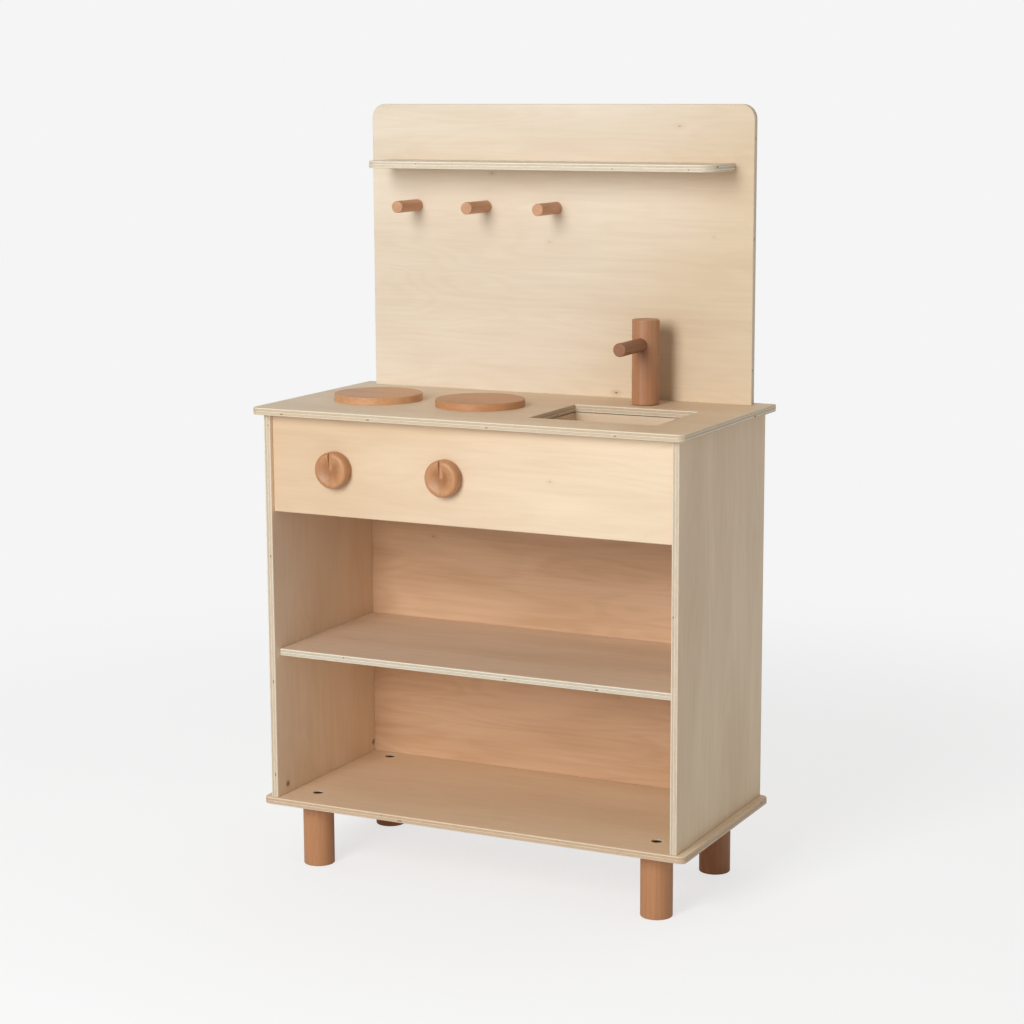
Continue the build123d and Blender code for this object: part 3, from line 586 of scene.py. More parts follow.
def draw_plywood(desk, given):
    """Plywood all through: Place is along the face grain, across it and the depth from one face."""
    boards = bpy.context.scene.kitchen_boards
    place = given["Place"]
    along, across, depth = desk.split(place)
    facing = [desk.math("ABSOLUTE", part) for part in desk.split(given["Facing"])]
    ply = PLY_THICKNESS / MM / boards.plies
    about_zero = (-0.5, 0.5)

    # Which ply this is, and how its grain runs: every second one is turned across
    in_plies = desk.math("DIVIDE", depth, ply)
    inside = desk.math("MINIMUM", desk.math("MAXIMUM", in_plies, 0.01), boards.plies - 0.01)
    count = desk.math("FLOOR", inside)
    crossed = desk.math("MODULO", count, 2.0)
    own_along = desk.choose(crossed, along, across)
    own_across = desk.choose(crossed, across, along)
    shift = desk.times(count, PLY_SHIFT)
    own_place = desk.add("CombineXYZ", {0: own_along, 1: own_across, 2: shift}).outputs[0]
    end_grain = desk.choose(crossed, facing[X], facing[Y])
    on_edge = desk.ramp(facing[Z], 0.92, 0.55)

    # The face: broad tone, soft figure lines, fine fibres and short pores
    broad = desk.noise(own_place, (420, 70, 60), detail=2)
    contour = desk.noise(own_place, (330, 52, 60), detail=1.5, roughness=0.45, distortion=0.5)
    figure = desk.ramp(desk.math("SINE", desk.times(contour, FIGURE_LINES)), -0.6, 1.0)
    fibres = desk.noise(own_place, (34, 1.3, 60), detail=3, roughness=0.6)
    streaks = desk.noise(own_place, (120, 5.5, 60), detail=3, roughness=0.55)
    pores = desk.ramp(desk.noise(own_place, (6.5, 0.42, 60), detail=1), 0.66, 0.78)
    broad_share, figure_share, streak_share = 0.34, 0.085, 0.16
    fibre_share, pore_share, base = 0.11, 0.20, 0.30
    tone = desk.times(desk.ramp(broad, 0.3, 0.7, *about_zero), broad_share)
    tone = desk.add_share(figure, figure_share, tone)
    tone = desk.add_share(desk.ramp(streaks, 0.25, 0.75, *about_zero), streak_share, tone)
    tone = desk.times(tone, given["Contrast"])
    tone = desk.add_share(desk.ramp(fibres, 0.25, 0.75, *about_zero), fibre_share, tone)
    tone = desk.add_share(pores, pore_share, tone)
    tone = desk.math("ADD", tone, base, clamp=True)
    face = desk.mix(tone, opaque(boards.veneer_light), opaque(boards.veneer_dark))
    face = desk.tint(face, given["Tone"])

    # The edge: plies by the way they were cut, their own tones, glue lines and a few voids
    layer_tone = desk.add("TexWhiteNoise", {"W": count}, noise_dimensions="1D").outputs["Value"]
    speckle = desk.noise(place, (0.9, 0.9, 0.5), detail=2)
    grain_lines = desk.noise(own_place, (16, 0.8, 60), detail=2)
    end_share, layer_share, texture_share = 0.66, 0.36, 0.34
    cut = desk.add_share(end_grain, end_share, desk.times(layer_tone, layer_share))
    texture = desk.ramp(desk.choose(end_grain, grain_lines, speckle), 0.2, 0.8, *about_zero)
    cut = desk.add_share(texture, texture_share, cut, clamp=True)
    edge = desk.mix(cut, opaque(boards.edge_long), opaque(boards.edge_end))
    edge = desk.tint(edge, given["Edge tone"])
    within = desk.math("FRACT", in_plies)
    to_line = desk.math("MINIMUM", within, desk.math("SUBTRACT", 1.0, within))
    glue_wobble = desk.noise(place, (5, 5, 1), detail=1)
    glue_strength = desk.ramp(glue_wobble, 0.3, 0.6, 0.45, 1.0)
    glue_line = desk.times(desk.ramp(to_line, 0.11, 0.02), glue_strength)
    round_board = desk.math("ADD", along, across)
    void_place = desk.add("CombineXYZ", {0: round_board, 1: shift, 2: 0.0}).outputs[0]
    void = desk.ramp(desk.noise(void_place, (13, 13, 13), detail=2), 0.70, 0.73)
    void = desk.times(void, crossed)
    void = desk.times(void, desk.ramp(to_line, 0.04, 0.22))
    edge = desk.mix(desk.math("MAXIMUM", glue_line, void), edge, opaque(boards.glue))

    colour = desk.mix(on_edge, face, edge)
    roughness = desk.add_share(fibres, 0.14, desk.choose(on_edge, 0.44, 0.58))
    height = desk.add_share(fibres, 0.6, desk.times(streaks, 0.5))
    height = desk.math("SUBTRACT", height, desk.times(pores, 0.7))
    scars = desk.add_share(glue_line, 0.8, desk.times(void, 6.0))
    return colour, roughness, desk.math("SUBTRACT", height, desk.times(scars, on_edge))


def draw_beech(desk, given):
    """Solid beech: Place is along the grain and the two ways across it."""
    turnings = bpy.context.scene.kitchen_turnings
    place = given["Place"]
    across = desk.split(place)[Y]
    warp = desk.noise(place, (190, 30, 26), detail=1)
    bent = desk.add_share(warp, 22.0, across)
    turns = desk.times(bent, 2 * math.pi / RING_SPACING)
    rings = desk.ramp(desk.math("SINE", turns), -0.9, 1.0)
    streaks = desk.noise(place, (150, 3.6, 3.6), detail=3, roughness=0.55)
    broad = desk.noise(place, (240, 26, 26), detail=1)
    fibres = desk.noise(place, (14, 0.55, 0.55), detail=3, roughness=0.6)
    flecks = desk.ramp(desk.noise(place, (2.6, 0.5, 0.5), detail=1), 0.62, 0.72)
    broad_share, streak_share, fibre_share, fleck_share = 0.30, 0.30, 0.18, 0.34
    tone = desk.ramp(broad, 0.3, 0.7, 0.0, broad_share)
    tone = desk.add_share(rings, given["Rings"], tone)
    tone = desk.add_share(desk.ramp(streaks, 0.28, 0.72), streak_share, tone)
    tone = desk.add_share(desk.ramp(fibres, 0.25, 0.75), fibre_share, tone)
    tone = desk.add_share(flecks, fleck_share, tone, clamp=True)
    colour = desk.mix(tone, opaque(turnings.beech_light), opaque(turnings.beech_dark))
    roughness = desk.add_share(fibres, 0.16, 0.36)
    height = desk.add_share(fibres, 0.6, desk.times(rings, 0.25))
    return colour, roughness, desk.math("SUBTRACT", height, desk.times(flecks, 0.5))


def new_material(name):
    """A material, its desk, and its shader wired to the output."""
    material = bpy.data.materials.new(name)
    desk = clear_desk(material)
    shader = desk.add("BsdfPrincipled")
    desk.add("OutputMaterial", {"Surface": shader.outputs[0]})
    return material, desk, shader


def wire_pattern(desk, shader, group, grain, depth_axis, shift, bump):
    """Feeds a pattern group from the piece's own coordinates and wires it to the shader."""
    turn = Euler(GRAIN_TURNS.get(grain + depth_axis, (0, 0, 0)))
    coordinates = desk.add("TexCoord").outputs
    mapping = {
        "Vector": coordinates["Object"], "Location": shift, "Rotation": turn,
        "Scale": (1 / MM,) * 3,
    }
    place = desk.add("Mapping", mapping, vector_type="POINT").outputs[0]
    pattern = desk.add("Group", {}, node_tree=group)
    desk.wire(place, pattern, "Place")
    if "Facing" in pattern.inputs:
        inputs = {"Vector": coordinates["Normal"], "Rotation": turn}
        desk.wire(desk.add("Mapping", inputs, vector_type="VECTOR").outputs[0], pattern, "Facing")
    desk.emboss(shader, pattern.outputs["Height"], bump)
    desk.wire(pattern.outputs["Roughness"], shader, "Roughness")
    return place, pattern


def pin_knot(desk, place, colour, spot, length, dark):
    """Adds one small knot at a spot along and across the grain, in millimetres."""
    offset = desk.vector("SUBTRACT", place, (*spot, 0))
    shaped = desk.vector("MULTIPLY", offset, (1 / length, 1.9 / length, 0))
    rough = desk.add("TexNoise", {"Vector": place, "Scale": 0.8, "Detail": 2.0}).outputs["Color"]
    wander = desk.vector("MULTIPLY", desk.vector("SUBTRACT", rough, (0.5,) * 3), (0.9,) * 3)
    distance = desk.length(desk.vector("ADD", shaped, wander))
    heart = desk.ramp(distance, 0.62, 0.25)
    halo = desk.ramp(distance, 2.6, 0.5, 0.0, 0.22)
    mask = desk.times(desk.math("MAXIMUM", heart, halo), dark)
    return desk.mix(mask, colour, opaque(bpy.context.scene.kitchen_boards.knot))


def plywood_material(
    node, grain, depth_axis, shift, tones=(PLAIN, PLAIN), ends=(-250, 250), contrast=1.0, knots=(),
    edge_tone=PLAIN, slant=0.0,
):
    """Plywood for one board.

    The board has its grain along one axis and its thickness along another. Its colour drifts from
    the first tone to the second between the two ends, in millimetres along the grain, and the
    slant carries the ends sideways across the grain.
    """
    material, desk, shader = new_material(f"{node}_plywood")
    low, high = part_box(node)
    axis = "XYZ".index(depth_axis)
    # The depth is measured from the low face, or from the high one where the turn reverses it
    face_at = high[axis] if depth_axis == "X" else -low[axis]
    group = pattern_group("plywood_pattern", draw_plywood, (
        ("Facing", "Vector"), ("Tone", "Color"), ("Edge tone", "Color"), ("Contrast", "Float"),
    ))
    place, pattern = wire_pattern(
        desk, shader, group, grain, depth_axis, (*shift, face_at / MM), bump=0.018 * MM
    )
    along, across, _ = desk.split(place)
    drift = desk.add_share(across, slant, along)
    drift = desk.add_share(desk.noise(place, (300, 90, 90), detail=1), 160.0, drift)
    start = shift[0] + slant * shift[1] + 80  # the noise adds 80 on average
    drift = desk.ramp(drift, ends[0] + start, ends[1] + start)
    desk.wire(desk.mix(drift, opaque(tones[0]), opaque(tones[1])), pattern, "Tone")
    pattern.inputs["Edge tone"].default_value = opaque(edge_tone)
    pattern.inputs["Contrast"].default_value = contrast
    colour = pattern.outputs["Colour"]
    for spot, length, dark in knots:
        spot = (spot[0] + shift[0], -spot[1] + shift[1])
        colour = pin_knot(desk, place, colour, spot, length, dark)
    desk.wire(colour, shader, "Base Color")
    return material


def beech_material(node, grain, shift=(0, 0, 0), tone=PLAIN, rings=0.08):
    """Beech for one piece, with its grain along the axis, its own tone and strength of rings."""
    material, desk, shader = new_material(f"{node}_beech")
    depth_axis = {"X": "Z", "Y": "Z", "Z": "X"}[grain]
    group = pattern_group("beech_pattern", draw_beech, (("Rings", "Float"),))
    _, pattern = wire_pattern(desk, shader, group, grain, depth_axis, shift, bump=0.02 * MM)
    pattern.inputs["Rings"].default_value = rings
    desk.wire(desk.tint(pattern.outputs["Colour"], opaque(tone)), shader, "Base Color")
    return material


def metal_material(name, colour, worn, roughness):
    """Plated or blackened steel with a fine, uneven finish and lighter wear."""
    material, desk, shader = new_material(name)
    shader.inputs["Metallic"].default_value = 1.0
    place = desk.in_mm(desk.object_place())
    patches = desk.noise(place, (2.4, 2.4, 2.4), detail=3, roughness=0.6)
    scratches = desk.noise(place, (0.25, 3.0, 0.25), detail=2)
    scratched = desk.ramp(scratches, 0.35, 0.7)
    wear = desk.times(desk.ramp(patches, 0.45, 0.75), scratched, clamp=True)
    desk.wire(desk.mix(wear, opaque(colour), opaque(worn)), shader, "Base Color")
    desk.wire(desk.add_share(patches, 0.22, roughness - 0.11), shader, "Roughness")
    desk.emboss(shader, scratches, 0.01 * MM)
    return material


def nylon_material(name, colour):
    """Slightly mottled, waxy nylon."""
    material, desk, shader = new_material(name)
    mottle = desk.noise(desk.in_mm(desk.object_place()), (3, 3, 3), detail=3)
    darker = tuple(0.86 * part for part in colour)
    desk.wire(desk.mix(mottle, opaque(colour), opaque(darker)), shader, "Base Color")
    desk.wire(desk.add_share(mottle, 0.2, 0.35), shader, "Roughness")
    desk.emboss(shader, mottle, 0.01 * MM)
    return material


def shared(name, maker, *values):
    """A material that several pieces use, made once."""
    return bpy.data.materials.get(name) or maker(name, *values)


def black_steel():
    """Blackened steel of the bolts."""
    return shared("blackened_steel", metal_material, (0.05, 0.048, 0.045), (0.22, 0.21, 0.20), 0.42)


def zinc_steel():
    """Zinc plate of the nuts, screws and washers."""
    return shared("zinc_plated_steel", metal_material, (0.42, 0.42, 0.43), (0.62, 0.62, 0.63), 0.36)


# ---------------------------------------------------------------- operators


class KITCHEN_OT_base(bpy.types.Operator):
    """Base board with rounded corners and pockets for its bolts"""

    bl_idname = "kitchen.base"
    bl_label = "Base board"

    def execute(self, context):
        node = "base_panel"
        low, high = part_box(node)
        bm = board_of(node)
        round_corners(bm, Z, BASE_CORNER)
        ease_edges(bm)
        holes = [
            (level_with(bolt, Z, high.z), -Z_AXIS, *LEG_BOLT_POCKET)
            for bolt in solids_of("leg_bolts")
        ]
        for box in solids_of("base_bolts"):
            radius = (box[1] - box[0]).x / 2 + BASE_BOLT_SLACK
            holes.append((level_with(box, Z, low.z), Z_AXIS, radius, BASE_BOLT_DEPTH))
        sink_holes(bm, holes)
        material = plywood_material(
            node, "X", "Z", (310, 40), ((1.03, 0.99, 0.95), (1.01, 0.99, 0.95)),
            edge_tone=(0.95, 0.84, 0.75),
        )
        finish_board(bm, node, material)
        return {"FINISHED"}


class KITCHEN_OT_sides(bpy.types.Operator):
    """Left and right side boards, with grooves for the back and holes for the barrel nuts"""

    bl_idname = "kitchen.sides"
    bl_label = "Side boards"
    # Painted light: each board turns paler towards its foot, where floor light falls, and the left
    # board's paler, bluer tones stand in for light on its inner face; the rest of each tone is the
    # veneer's own colour.
    tones = (((1.20, 1.27, 1.38), (1.16, 1.17, 1.23)), ((1.06, 1.06, 1.01), (0.95, 0.92, 0.86)))

    def execute(self, context):
        gap = context.scene.kitchen_boards.joint_gap
        back_low, back_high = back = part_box("back_panel")
        for number, (side, sign) in enumerate(zip(SIDES, (-1, 1))):
            node = f"{side}_side_panel"
            low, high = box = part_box(node)
            inner = box[1 - number].x
            bm = board_of(node, (0, 0, gap))
            ease_edges(bm, lambda place, edge: runs_along(edge, Z))
            mouth = inner - CUTTER_PROUD * sign
            start = Vector((mouth, back_low.y, low.z - CUTTER_PROUD))
            carve_box(bm, start, Vector((back[number].x, back_high.y, high.z + CUTTER_PROUD)))
            sink_holes(bm, [
                (level_with(nut, X, inner), X_AXIS * sign, *BARREL_NUT_HOLE)
                for nut in solids_of("base_barrel_nuts") if centre_of(nut).x * sign > 0
            ])
            shift = (90 + 700 * sign, 55 * sign)
            material = plywood_material(
                node, "Z", "X", shift, self.tones[number], (180, 520), contrast=1.2
            )
            finish_board(bm, node, material)
        return {"FINISHED"}


class KITCHEN_OT_back(bpy.types.Operator):
    """Back board, which slides in the side boards' grooves"""

    bl_idname = "kitchen.back"
    bl_label = "Back board"

    def execute(self, context):
        gap = context.scene.kitchen_boards.joint_gap
        node = "back_panel"
        material = plywood_material(
            node, "X", "Y", (-520, 160), ((0.96, 0.80, 0.70), (0.94, 0.79, 0.70)), contrast=2.3,
            knots=(((-183, 412), 5, 0.55), ((96, 214), 4, 0.35)),
        )
        finish_board(board_of(node, (gap, 0.1 * MM, gap)), node, material)
        return {"FINISHED"}


class KITCHEN_OT_shelf(bpy.types.Operator):
    """Shelf between the two bays"""

    bl_idname = "kitchen.shelf"
    bl_label = "Shelf"

    def execute(self, context):
        gap = context.scene.kitchen_boards.joint_gap
        node = "mid_shelf"
        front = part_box(node)[0].y
        tone = (1.04, 1.01, 1.04)
        material = plywood_material(
            node, "X", "Z", (-900, 300), (tone, tone), contrast=1.3, edge_tone=(1.0, 1.07, 1.12)
        )
        bm = board_of(node, (2 * gap, 0, 0))
        ease_edges(bm, lambda place, edge: place.y < front + NEAR and runs_along(edge, X))
        finish_board(bm, node, material)
        return {"FINISHED"}


class KITCHEN_OT_fascia(bpy.types.Operator):
    """Fascia board that carries the knobs"""

    bl_idname = "kitchen.fascia"
    bl_label = "Fascia"

    def execute(self, context):
        gap = context.scene.kitchen_boards.joint_gap
        node = "fascia_panel"
        low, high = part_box(node)
        bm = board_of(node, (gap, 0, gap))
        ease_edges(bm, lambda place, edge: place.z < low.z + NEAR and runs_along(edge, X))
        right_through = high.y - low.y + CUTTER_PROUD
        bolts = [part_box(f"{side}_knob_bolt") for side in SIDES]
        sink_holes(bm, [
            (level_with(bolt, Y, low.y), Y_AXIS, KNOB_BOLT_RADIUS, right_through) for bolt in bolts
        ])
        # Painted light: the second tone makes the fascia paler and bluer towards its right end.
        material = plywood_material(
            node, "X", "Y", (640, -210), ((0.97, 0.92, 0.86), (1.10, 1.13, 1.15)), (-280, 250),
            knots=(((116, 547), 3.5, 0.5),),
        )
        finish_board(bm, node, material)
        return {"FINISHED"}


class KITCHEN_OT_worktop(bpy.types.Operator):
    """Worktop with rounded corners and the sink's window"""

    bl_idname = "kitchen.worktop"
    bl_label = "Worktop"
    window_step = 0.5 * MM  # the worktop's window is this much smaller than the walls below it

    def execute(self, context):
        node = "worktop"
        low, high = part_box(node)
        bm = board_of(node)
        round_corners(bm, Z, WORKTOP_FRONT_CORNER, lambda place: place.y < 0)
        round_corners(bm, Z, WORKTOP_REAR_CORNER, lambda place: place.y > high.y - NEAR)
        wall_low, wall_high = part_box("sink_front_wall")[0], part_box("sink_rear_wall")[1]
        set_in = PLY_THICKNESS + self.window_step
        window_low = Vector((wall_low.x + set_in, wall_low.y + set_in, low.z))
        window_high = Vector((wall_high.x - set_in, wall_high.y - set_in, high.z))
        cut_window(bm, window_low, window_high)

        def exposed(place, edge):
            beside = window_low.x - NEAR < place.x < window_high.x + NEAR
            within = window_low.y - NEAR < place.y < window_high.y + NEAR
            return place.z > high.z - NEAR or not (beside and within)

        ease_edges(bm, exposed)
        holes = [
            (level_with(bolt, Z, low.z), Z_AXIS, *SPLASHBACK_BOLT_POCKET)
            for bolt in solids_of("splashback_bolts")
        ]
        right_through = high.z - low.z + CUTTER_PROUD
        tap = level_with(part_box("tap_bolt"), Z, low.z)
        sink_holes(bm, [*holes, (tap, Z_AXIS, TAP_BOLT_RADIUS, right_through)])
        material = plywood_material(
            node, "X", "Z", (150, -420), ((1.02, 1.06, 1.10), (0.97, 0.93, 0.88)), (-300, 200),
            edge_tone=(0.98, 0.96, 0.92),
        )
        finish_board(bm, node, material)
        return {"FINISHED"}


class KITCHEN_OT_splashback(bpy.types.Operator):
    """Splashback with rounded top corners, and its ledge"""

    bl_idname = "kitchen.splashback"
    bl_label = "Splashback and ledge"
    # Radius at the mouth, depth, sides and radius at the tip
    countersink = (3.6 * MM + CUTTER_PROUD, 2 * MM, 32, 1.6 * MM)

    def execute(self, context):
        node = "splashback"
        low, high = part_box(node)
        bm = board_of(node)
        round_corners(bm, Y, SPLASHBACK_CORNER, lambda place: place.z > high.z - NEAR)
        ease_edges(bm, lambda place, edge: place.z > low.z + NEAR)
        nuts = solids_of("splashback_barrel_nuts")
        sink_holes(bm, [(level_with(nut, Y, high.y), -Y_AXIS, *BARREL_NUT_HOLE) for nut in nuts])
        cones = bmesh.new()
        for screw in solids_of("ledge_screws") + solids_of("peg_screws"):
            add_rod(cones, level_with(screw, Y, high.y), -Y_AXIS, *self.countersink)
        carve(bm, cones)
        knots = (
            ((174, 972), 6, 0.40), ((87, 624.5), 5, 1.0), ((-95, 909), 4, 0.6),
            ((-10, 820), 4, 0.35), ((223, 832), 3, 0.3),
        )
        # Painted sheen: the first tone makes the splashback paler and bluer towards its top left.
        tones = ((1.05, 1.16, 1.30), (0.94, 0.955, 0.93))
        material = plywood_material(
            node, "X", "Y", (0, 0), tones, (-385, -165), knots=knots, slant=0.5
        )
        finish_board(bm, node, material)
        self.make_ledge()
        return {"FINISHED"}

    @staticmethod
    def make_ledge():
        """The ledge, with its two front corners rounded."""
        node = "ledge_shelf"
        low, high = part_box(node)
        bm = board_of(node)
        round_corners(bm, Z, LEDGE_CORNER, lambda place: place.y < low.y + NEAR)
        ease_edges(bm, lambda place, edge: place.y < high.y - NEAR)
        tone = (1.0, 1.06, 1.14)
        material = plywood_material(
            node, "X", "Z", (-260, 710), (tone, tone), edge_tone=(1.11, 1.16, 1.20)
        )
        finish_board(bm, node, material)


class KITCHEN_OT_sink(bpy.types.Operator):
    """Four walls and a floor below the worktop's window"""

    bl_idname = "kitchen.sink"
    bl_label = "Sink"
    rim_gap = 1 * MM  # the shadow line between the worktop and the walls

    def execute(self, context):
        gap = context.scene.kitchen_boards.joint_gap
        walls = (("front", "Y", 0), ("rear", "Y", 0), ("left", "X", 1), ("right", "X", 1))
        for number, (name, depth_axis, butts) in enumerate(walls):
            node = f"sink_{name}_wall"
            grain = "X" if depth_axis == "Y" else "Z"
            material = plywood_material(node, grain, depth_axis, (1300 + 210 * number, 90 * number))
            low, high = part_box(node)
            side_gap = Y_AXIS * gap * butts
            bm = board(low + side_gap, high - side_gap - Z_AXIS * self.rim_gap)
            finish_board(bm, node, material)
        node = "sink_floor"
        material = plywood_material(node, "X", "Z", (2200, 130))
        finish_board(board_of(node), node, material)
        return {"FINISHED"}


class KITCHEN_OT_hobs(bpy.types.Operator):
    """Two beech discs that stand for hob plates"""

    bl_idname = "kitchen.hobs"
    bl_label = "Hob discs"
    tones = ((1.16, 1.18, 1.03), (1.06, 1.0, 0.84))

    def execute(self, context):
        edge_round = context.scene.kitchen_turnings.edge_round
        for number, side in enumerate(SIDES):
            node = f"{side}_hob_disc"
            shift = (400 * number, 35 + 60 * number, 12 * number)
            material = beech_material(node, "X", shift, self.tones[number])
            bm = turned_rod(node, Z_AXIS, HIDDEN_ROUND, edge_round)
            finish_turning(bm, node, CABINET, material)
        return {"FINISHED"}


class KITCHEN_OT_knobs(bpy.types.Operator):
    """Two dished knobs, each with a pointer groove from its rim"""

    bl_idname = "kitchen.knobs"
    bl_label = "Knobs"
    rim_tone = (1.0, 0.94, 0.76)
    hollow_tones = ((0.74, 0.62, 0.45), (0.68, 0.56, 0.38))

    def execute(self, context):
        turnings = context.scene.kitchen_turnings
        for number, side in enumerate(SIDES):
            node = f"{side}_knob"
            low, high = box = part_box(node)
            back, face = level_with(box, Y, high.y), level_with(box, Y, low.y)
            radius, thickness = (high - low).x / 2, (high - low).y
            bm = turned(self.profile(turnings, radius, thickness), back, -Y_AXIS, turnings.steps)
            for cutter in self.groove(turnings, face, radius):
                carve(bm, cutter)
            self.ease_groove(bm, turnings, face)
            material = self.material(node, face, number, turnings)
            finish_turning(bm, node, f"{side}_knob_set", material)
        return {"FINISHED"}

    def material(self, node, face, number, turnings):
        """Beech that is paler on the rim and in the groove than in the hollow."""
        shift = (300 * number + 60, 9 + 40 * number, 5)
        material = beech_material(node, "Z", shift, self.rim_tone)
        desk = NodeDesk(material.node_tree)
        shader = next(item for item in desk.tree.nodes if item.type == "BSDF_PRINCIPLED")
        offset = desk.vector("SUBTRACT", desk.object_place(), face)
        reach = desk.length(desk.vector("MULTIPLY", offset, (1 / MM, 0, 1 / MM)))
        wobble = desk.noise(desk.in_mm(offset), (9, 9, 9), detail=1)
        hollow = desk.ramp(desk.add_share(wobble, 10.0, reach), 23.0, 11.0)
        cut = turnings.groove_depth
        surface = desk.ramp(desk.split(offset)[Y], cut - 0.1 * MM, cut - 0.35 * MM)
        darker = tuple(inner / rim for inner, rim in zip(self.hollow_tones[number], self.rim_tone))
        colour = shader.inputs["Base Color"].links[0].from_socket
        in_hollow = desk.times(hollow, surface)
        toned = desk.mix(in_hollow, colour, desk.tint(colour, opaque(darker)))
        desk.wire(toned, shader, "Base Color")
        return material

    @staticmethod
    def profile(turnings, radius, thickness):
        """Half section: flat back, a broadly rounded rim and a hollow that runs out of it."""
        rim, ball, back_round = turnings.rim_round, turnings.dish_ball, turnings.edge_round
        rim_centre = (radius - rim, thickness - rim)
        lean = math.degrees(math.asin((radius - rim) / (ball + rim)))
        ball_centre = (0, rim_centre[1] + (ball + rim) * math.cos(math.radians(lean)))
        points = [(0, 0), (radius * 0.6, 0)]
        points += arc((radius - back_round, back_round), back_round, -90, 0, 4)
        points += arc(rim_centre, rim, 0, 90 + lean, 16)
        hollow = arc(ball_centre, ball, lean - 90, -90, 10)
        return points + hollow[1:-1] + [(0, ball_centre[1] - ball)]

    @staticmethod
    def groove(turnings, face, radius):
        """The pointer's two cutters: a bar, and its round end near the middle of the face."""
        half, depth = turnings.groove_width / 2, turnings.groove_depth
        low = face + Vector((-half, -CUTTER_PROUD, half))
        high = face + Vector((half, depth, radius + CUTTER_PROUD))
        end = bmesh.new()
        add_rod(end, face + Vector((0, 0, half)), Y_AXIS, half, depth, 24)
        return board(low, high), end

    @staticmethod
    def ease_groove(bm, turnings, face):
        """Takes the sharpness off the groove's brims."""
        half = turnings.groove_width / 2
        brims = []
        for edge in bm.edges:
            place = middle(edge) - face
            if abs(abs(place.x) - half) < 0.02 * MM and place.z > 0 and stands_out(edge):
                brims.append(edge)
        round_edges(bm, brims, 0.2 * MM, 2, clamp=True)


class KITCHEN_OT_tap(bpy.types.Operator):
    """Tap: an upright post and a round spout, which swivel together"""

    bl_idname = "kitchen.tap"
    bl_label = "Tap"
    post_tone, spout_tone = (0.86, 0.78, 0.69), (0.64, 0.53, 0.45)

    def execute(self, context):
        edge_round = context.scene.kitchen_turnings.edge_round
        post = turned_rod("tap_post", Z_AXIS, edge_round, edge_round)
        material = beech_material("tap_post", "Z", (35, 18, 52), self.post_tone)
        finish_turning(post, "tap_post", TAP, material)
        spout = turned_rod("tap_spout", -Y_AXIS, SMALL_HIDDEN_ROUND, edge_round)
        material = beech_material("tap_spout", "Y", (10, 71, 33), self.spout_tone, rings=0.5)
        finish_turning(spout, "tap_spout", TAP, material)
        return {"FINISHED"}


class KITCHEN_OT_pegs(bpy.types.Operator):
    """Row of round hook pegs on the splashback"""

    bl_idname = "kitchen.pegs"
    bl_label = "Hook pegs"
    tone = (1.16, 1.22, 1.24)

    def execute(self, context):
        edge_round = context.scene.kitchen_turnings.edge_round
        for number, name in enumerate(("left", "middle", "right")):
            node = f"{name}_hook_peg"
            shift = (90 * number, 23 * number, 60 * number)
            bm = turned_rod(node, -Y_AXIS, SMALL_HIDDEN_ROUND, edge_round)
            finish_turning(bm, node, CABINET, beech_material(node, "Y", shift, self.tone))
        return {"FINISHED"}


class KITCHEN_OT_legs(bpy.types.Operator):
    """Four round legs"""

    bl_idname = "kitchen.legs"
    bl_label = "Legs"
    # Painted light and shade: the front legs get a paler tone, as though lit, and the rear legs a
    # darker one, for the shade under the base.
    front_tone, rear_tone = (0.91, 0.82, 0.65), (0.74, 0.62, 0.50)

    def execute(self, context):
        edge_round = context.scene.kitchen_turnings.edge_round
        names = ("front_left_leg", "front_right_leg", "rear_left_leg", "rear_right_leg")
        for number, node in enumerate(names):
            shift = (150 * number, 47 * number, 31 * number)
            tone = self.front_tone if node.startswith("front") else self.rear_tone
            bm = turned_rod(node, Z_AXIS, edge_round, HIDDEN_ROUND)
            finish_turning(bm, node, CABINET, beech_material(node, "Z", shift, tone))
        return {"FINISHED"}


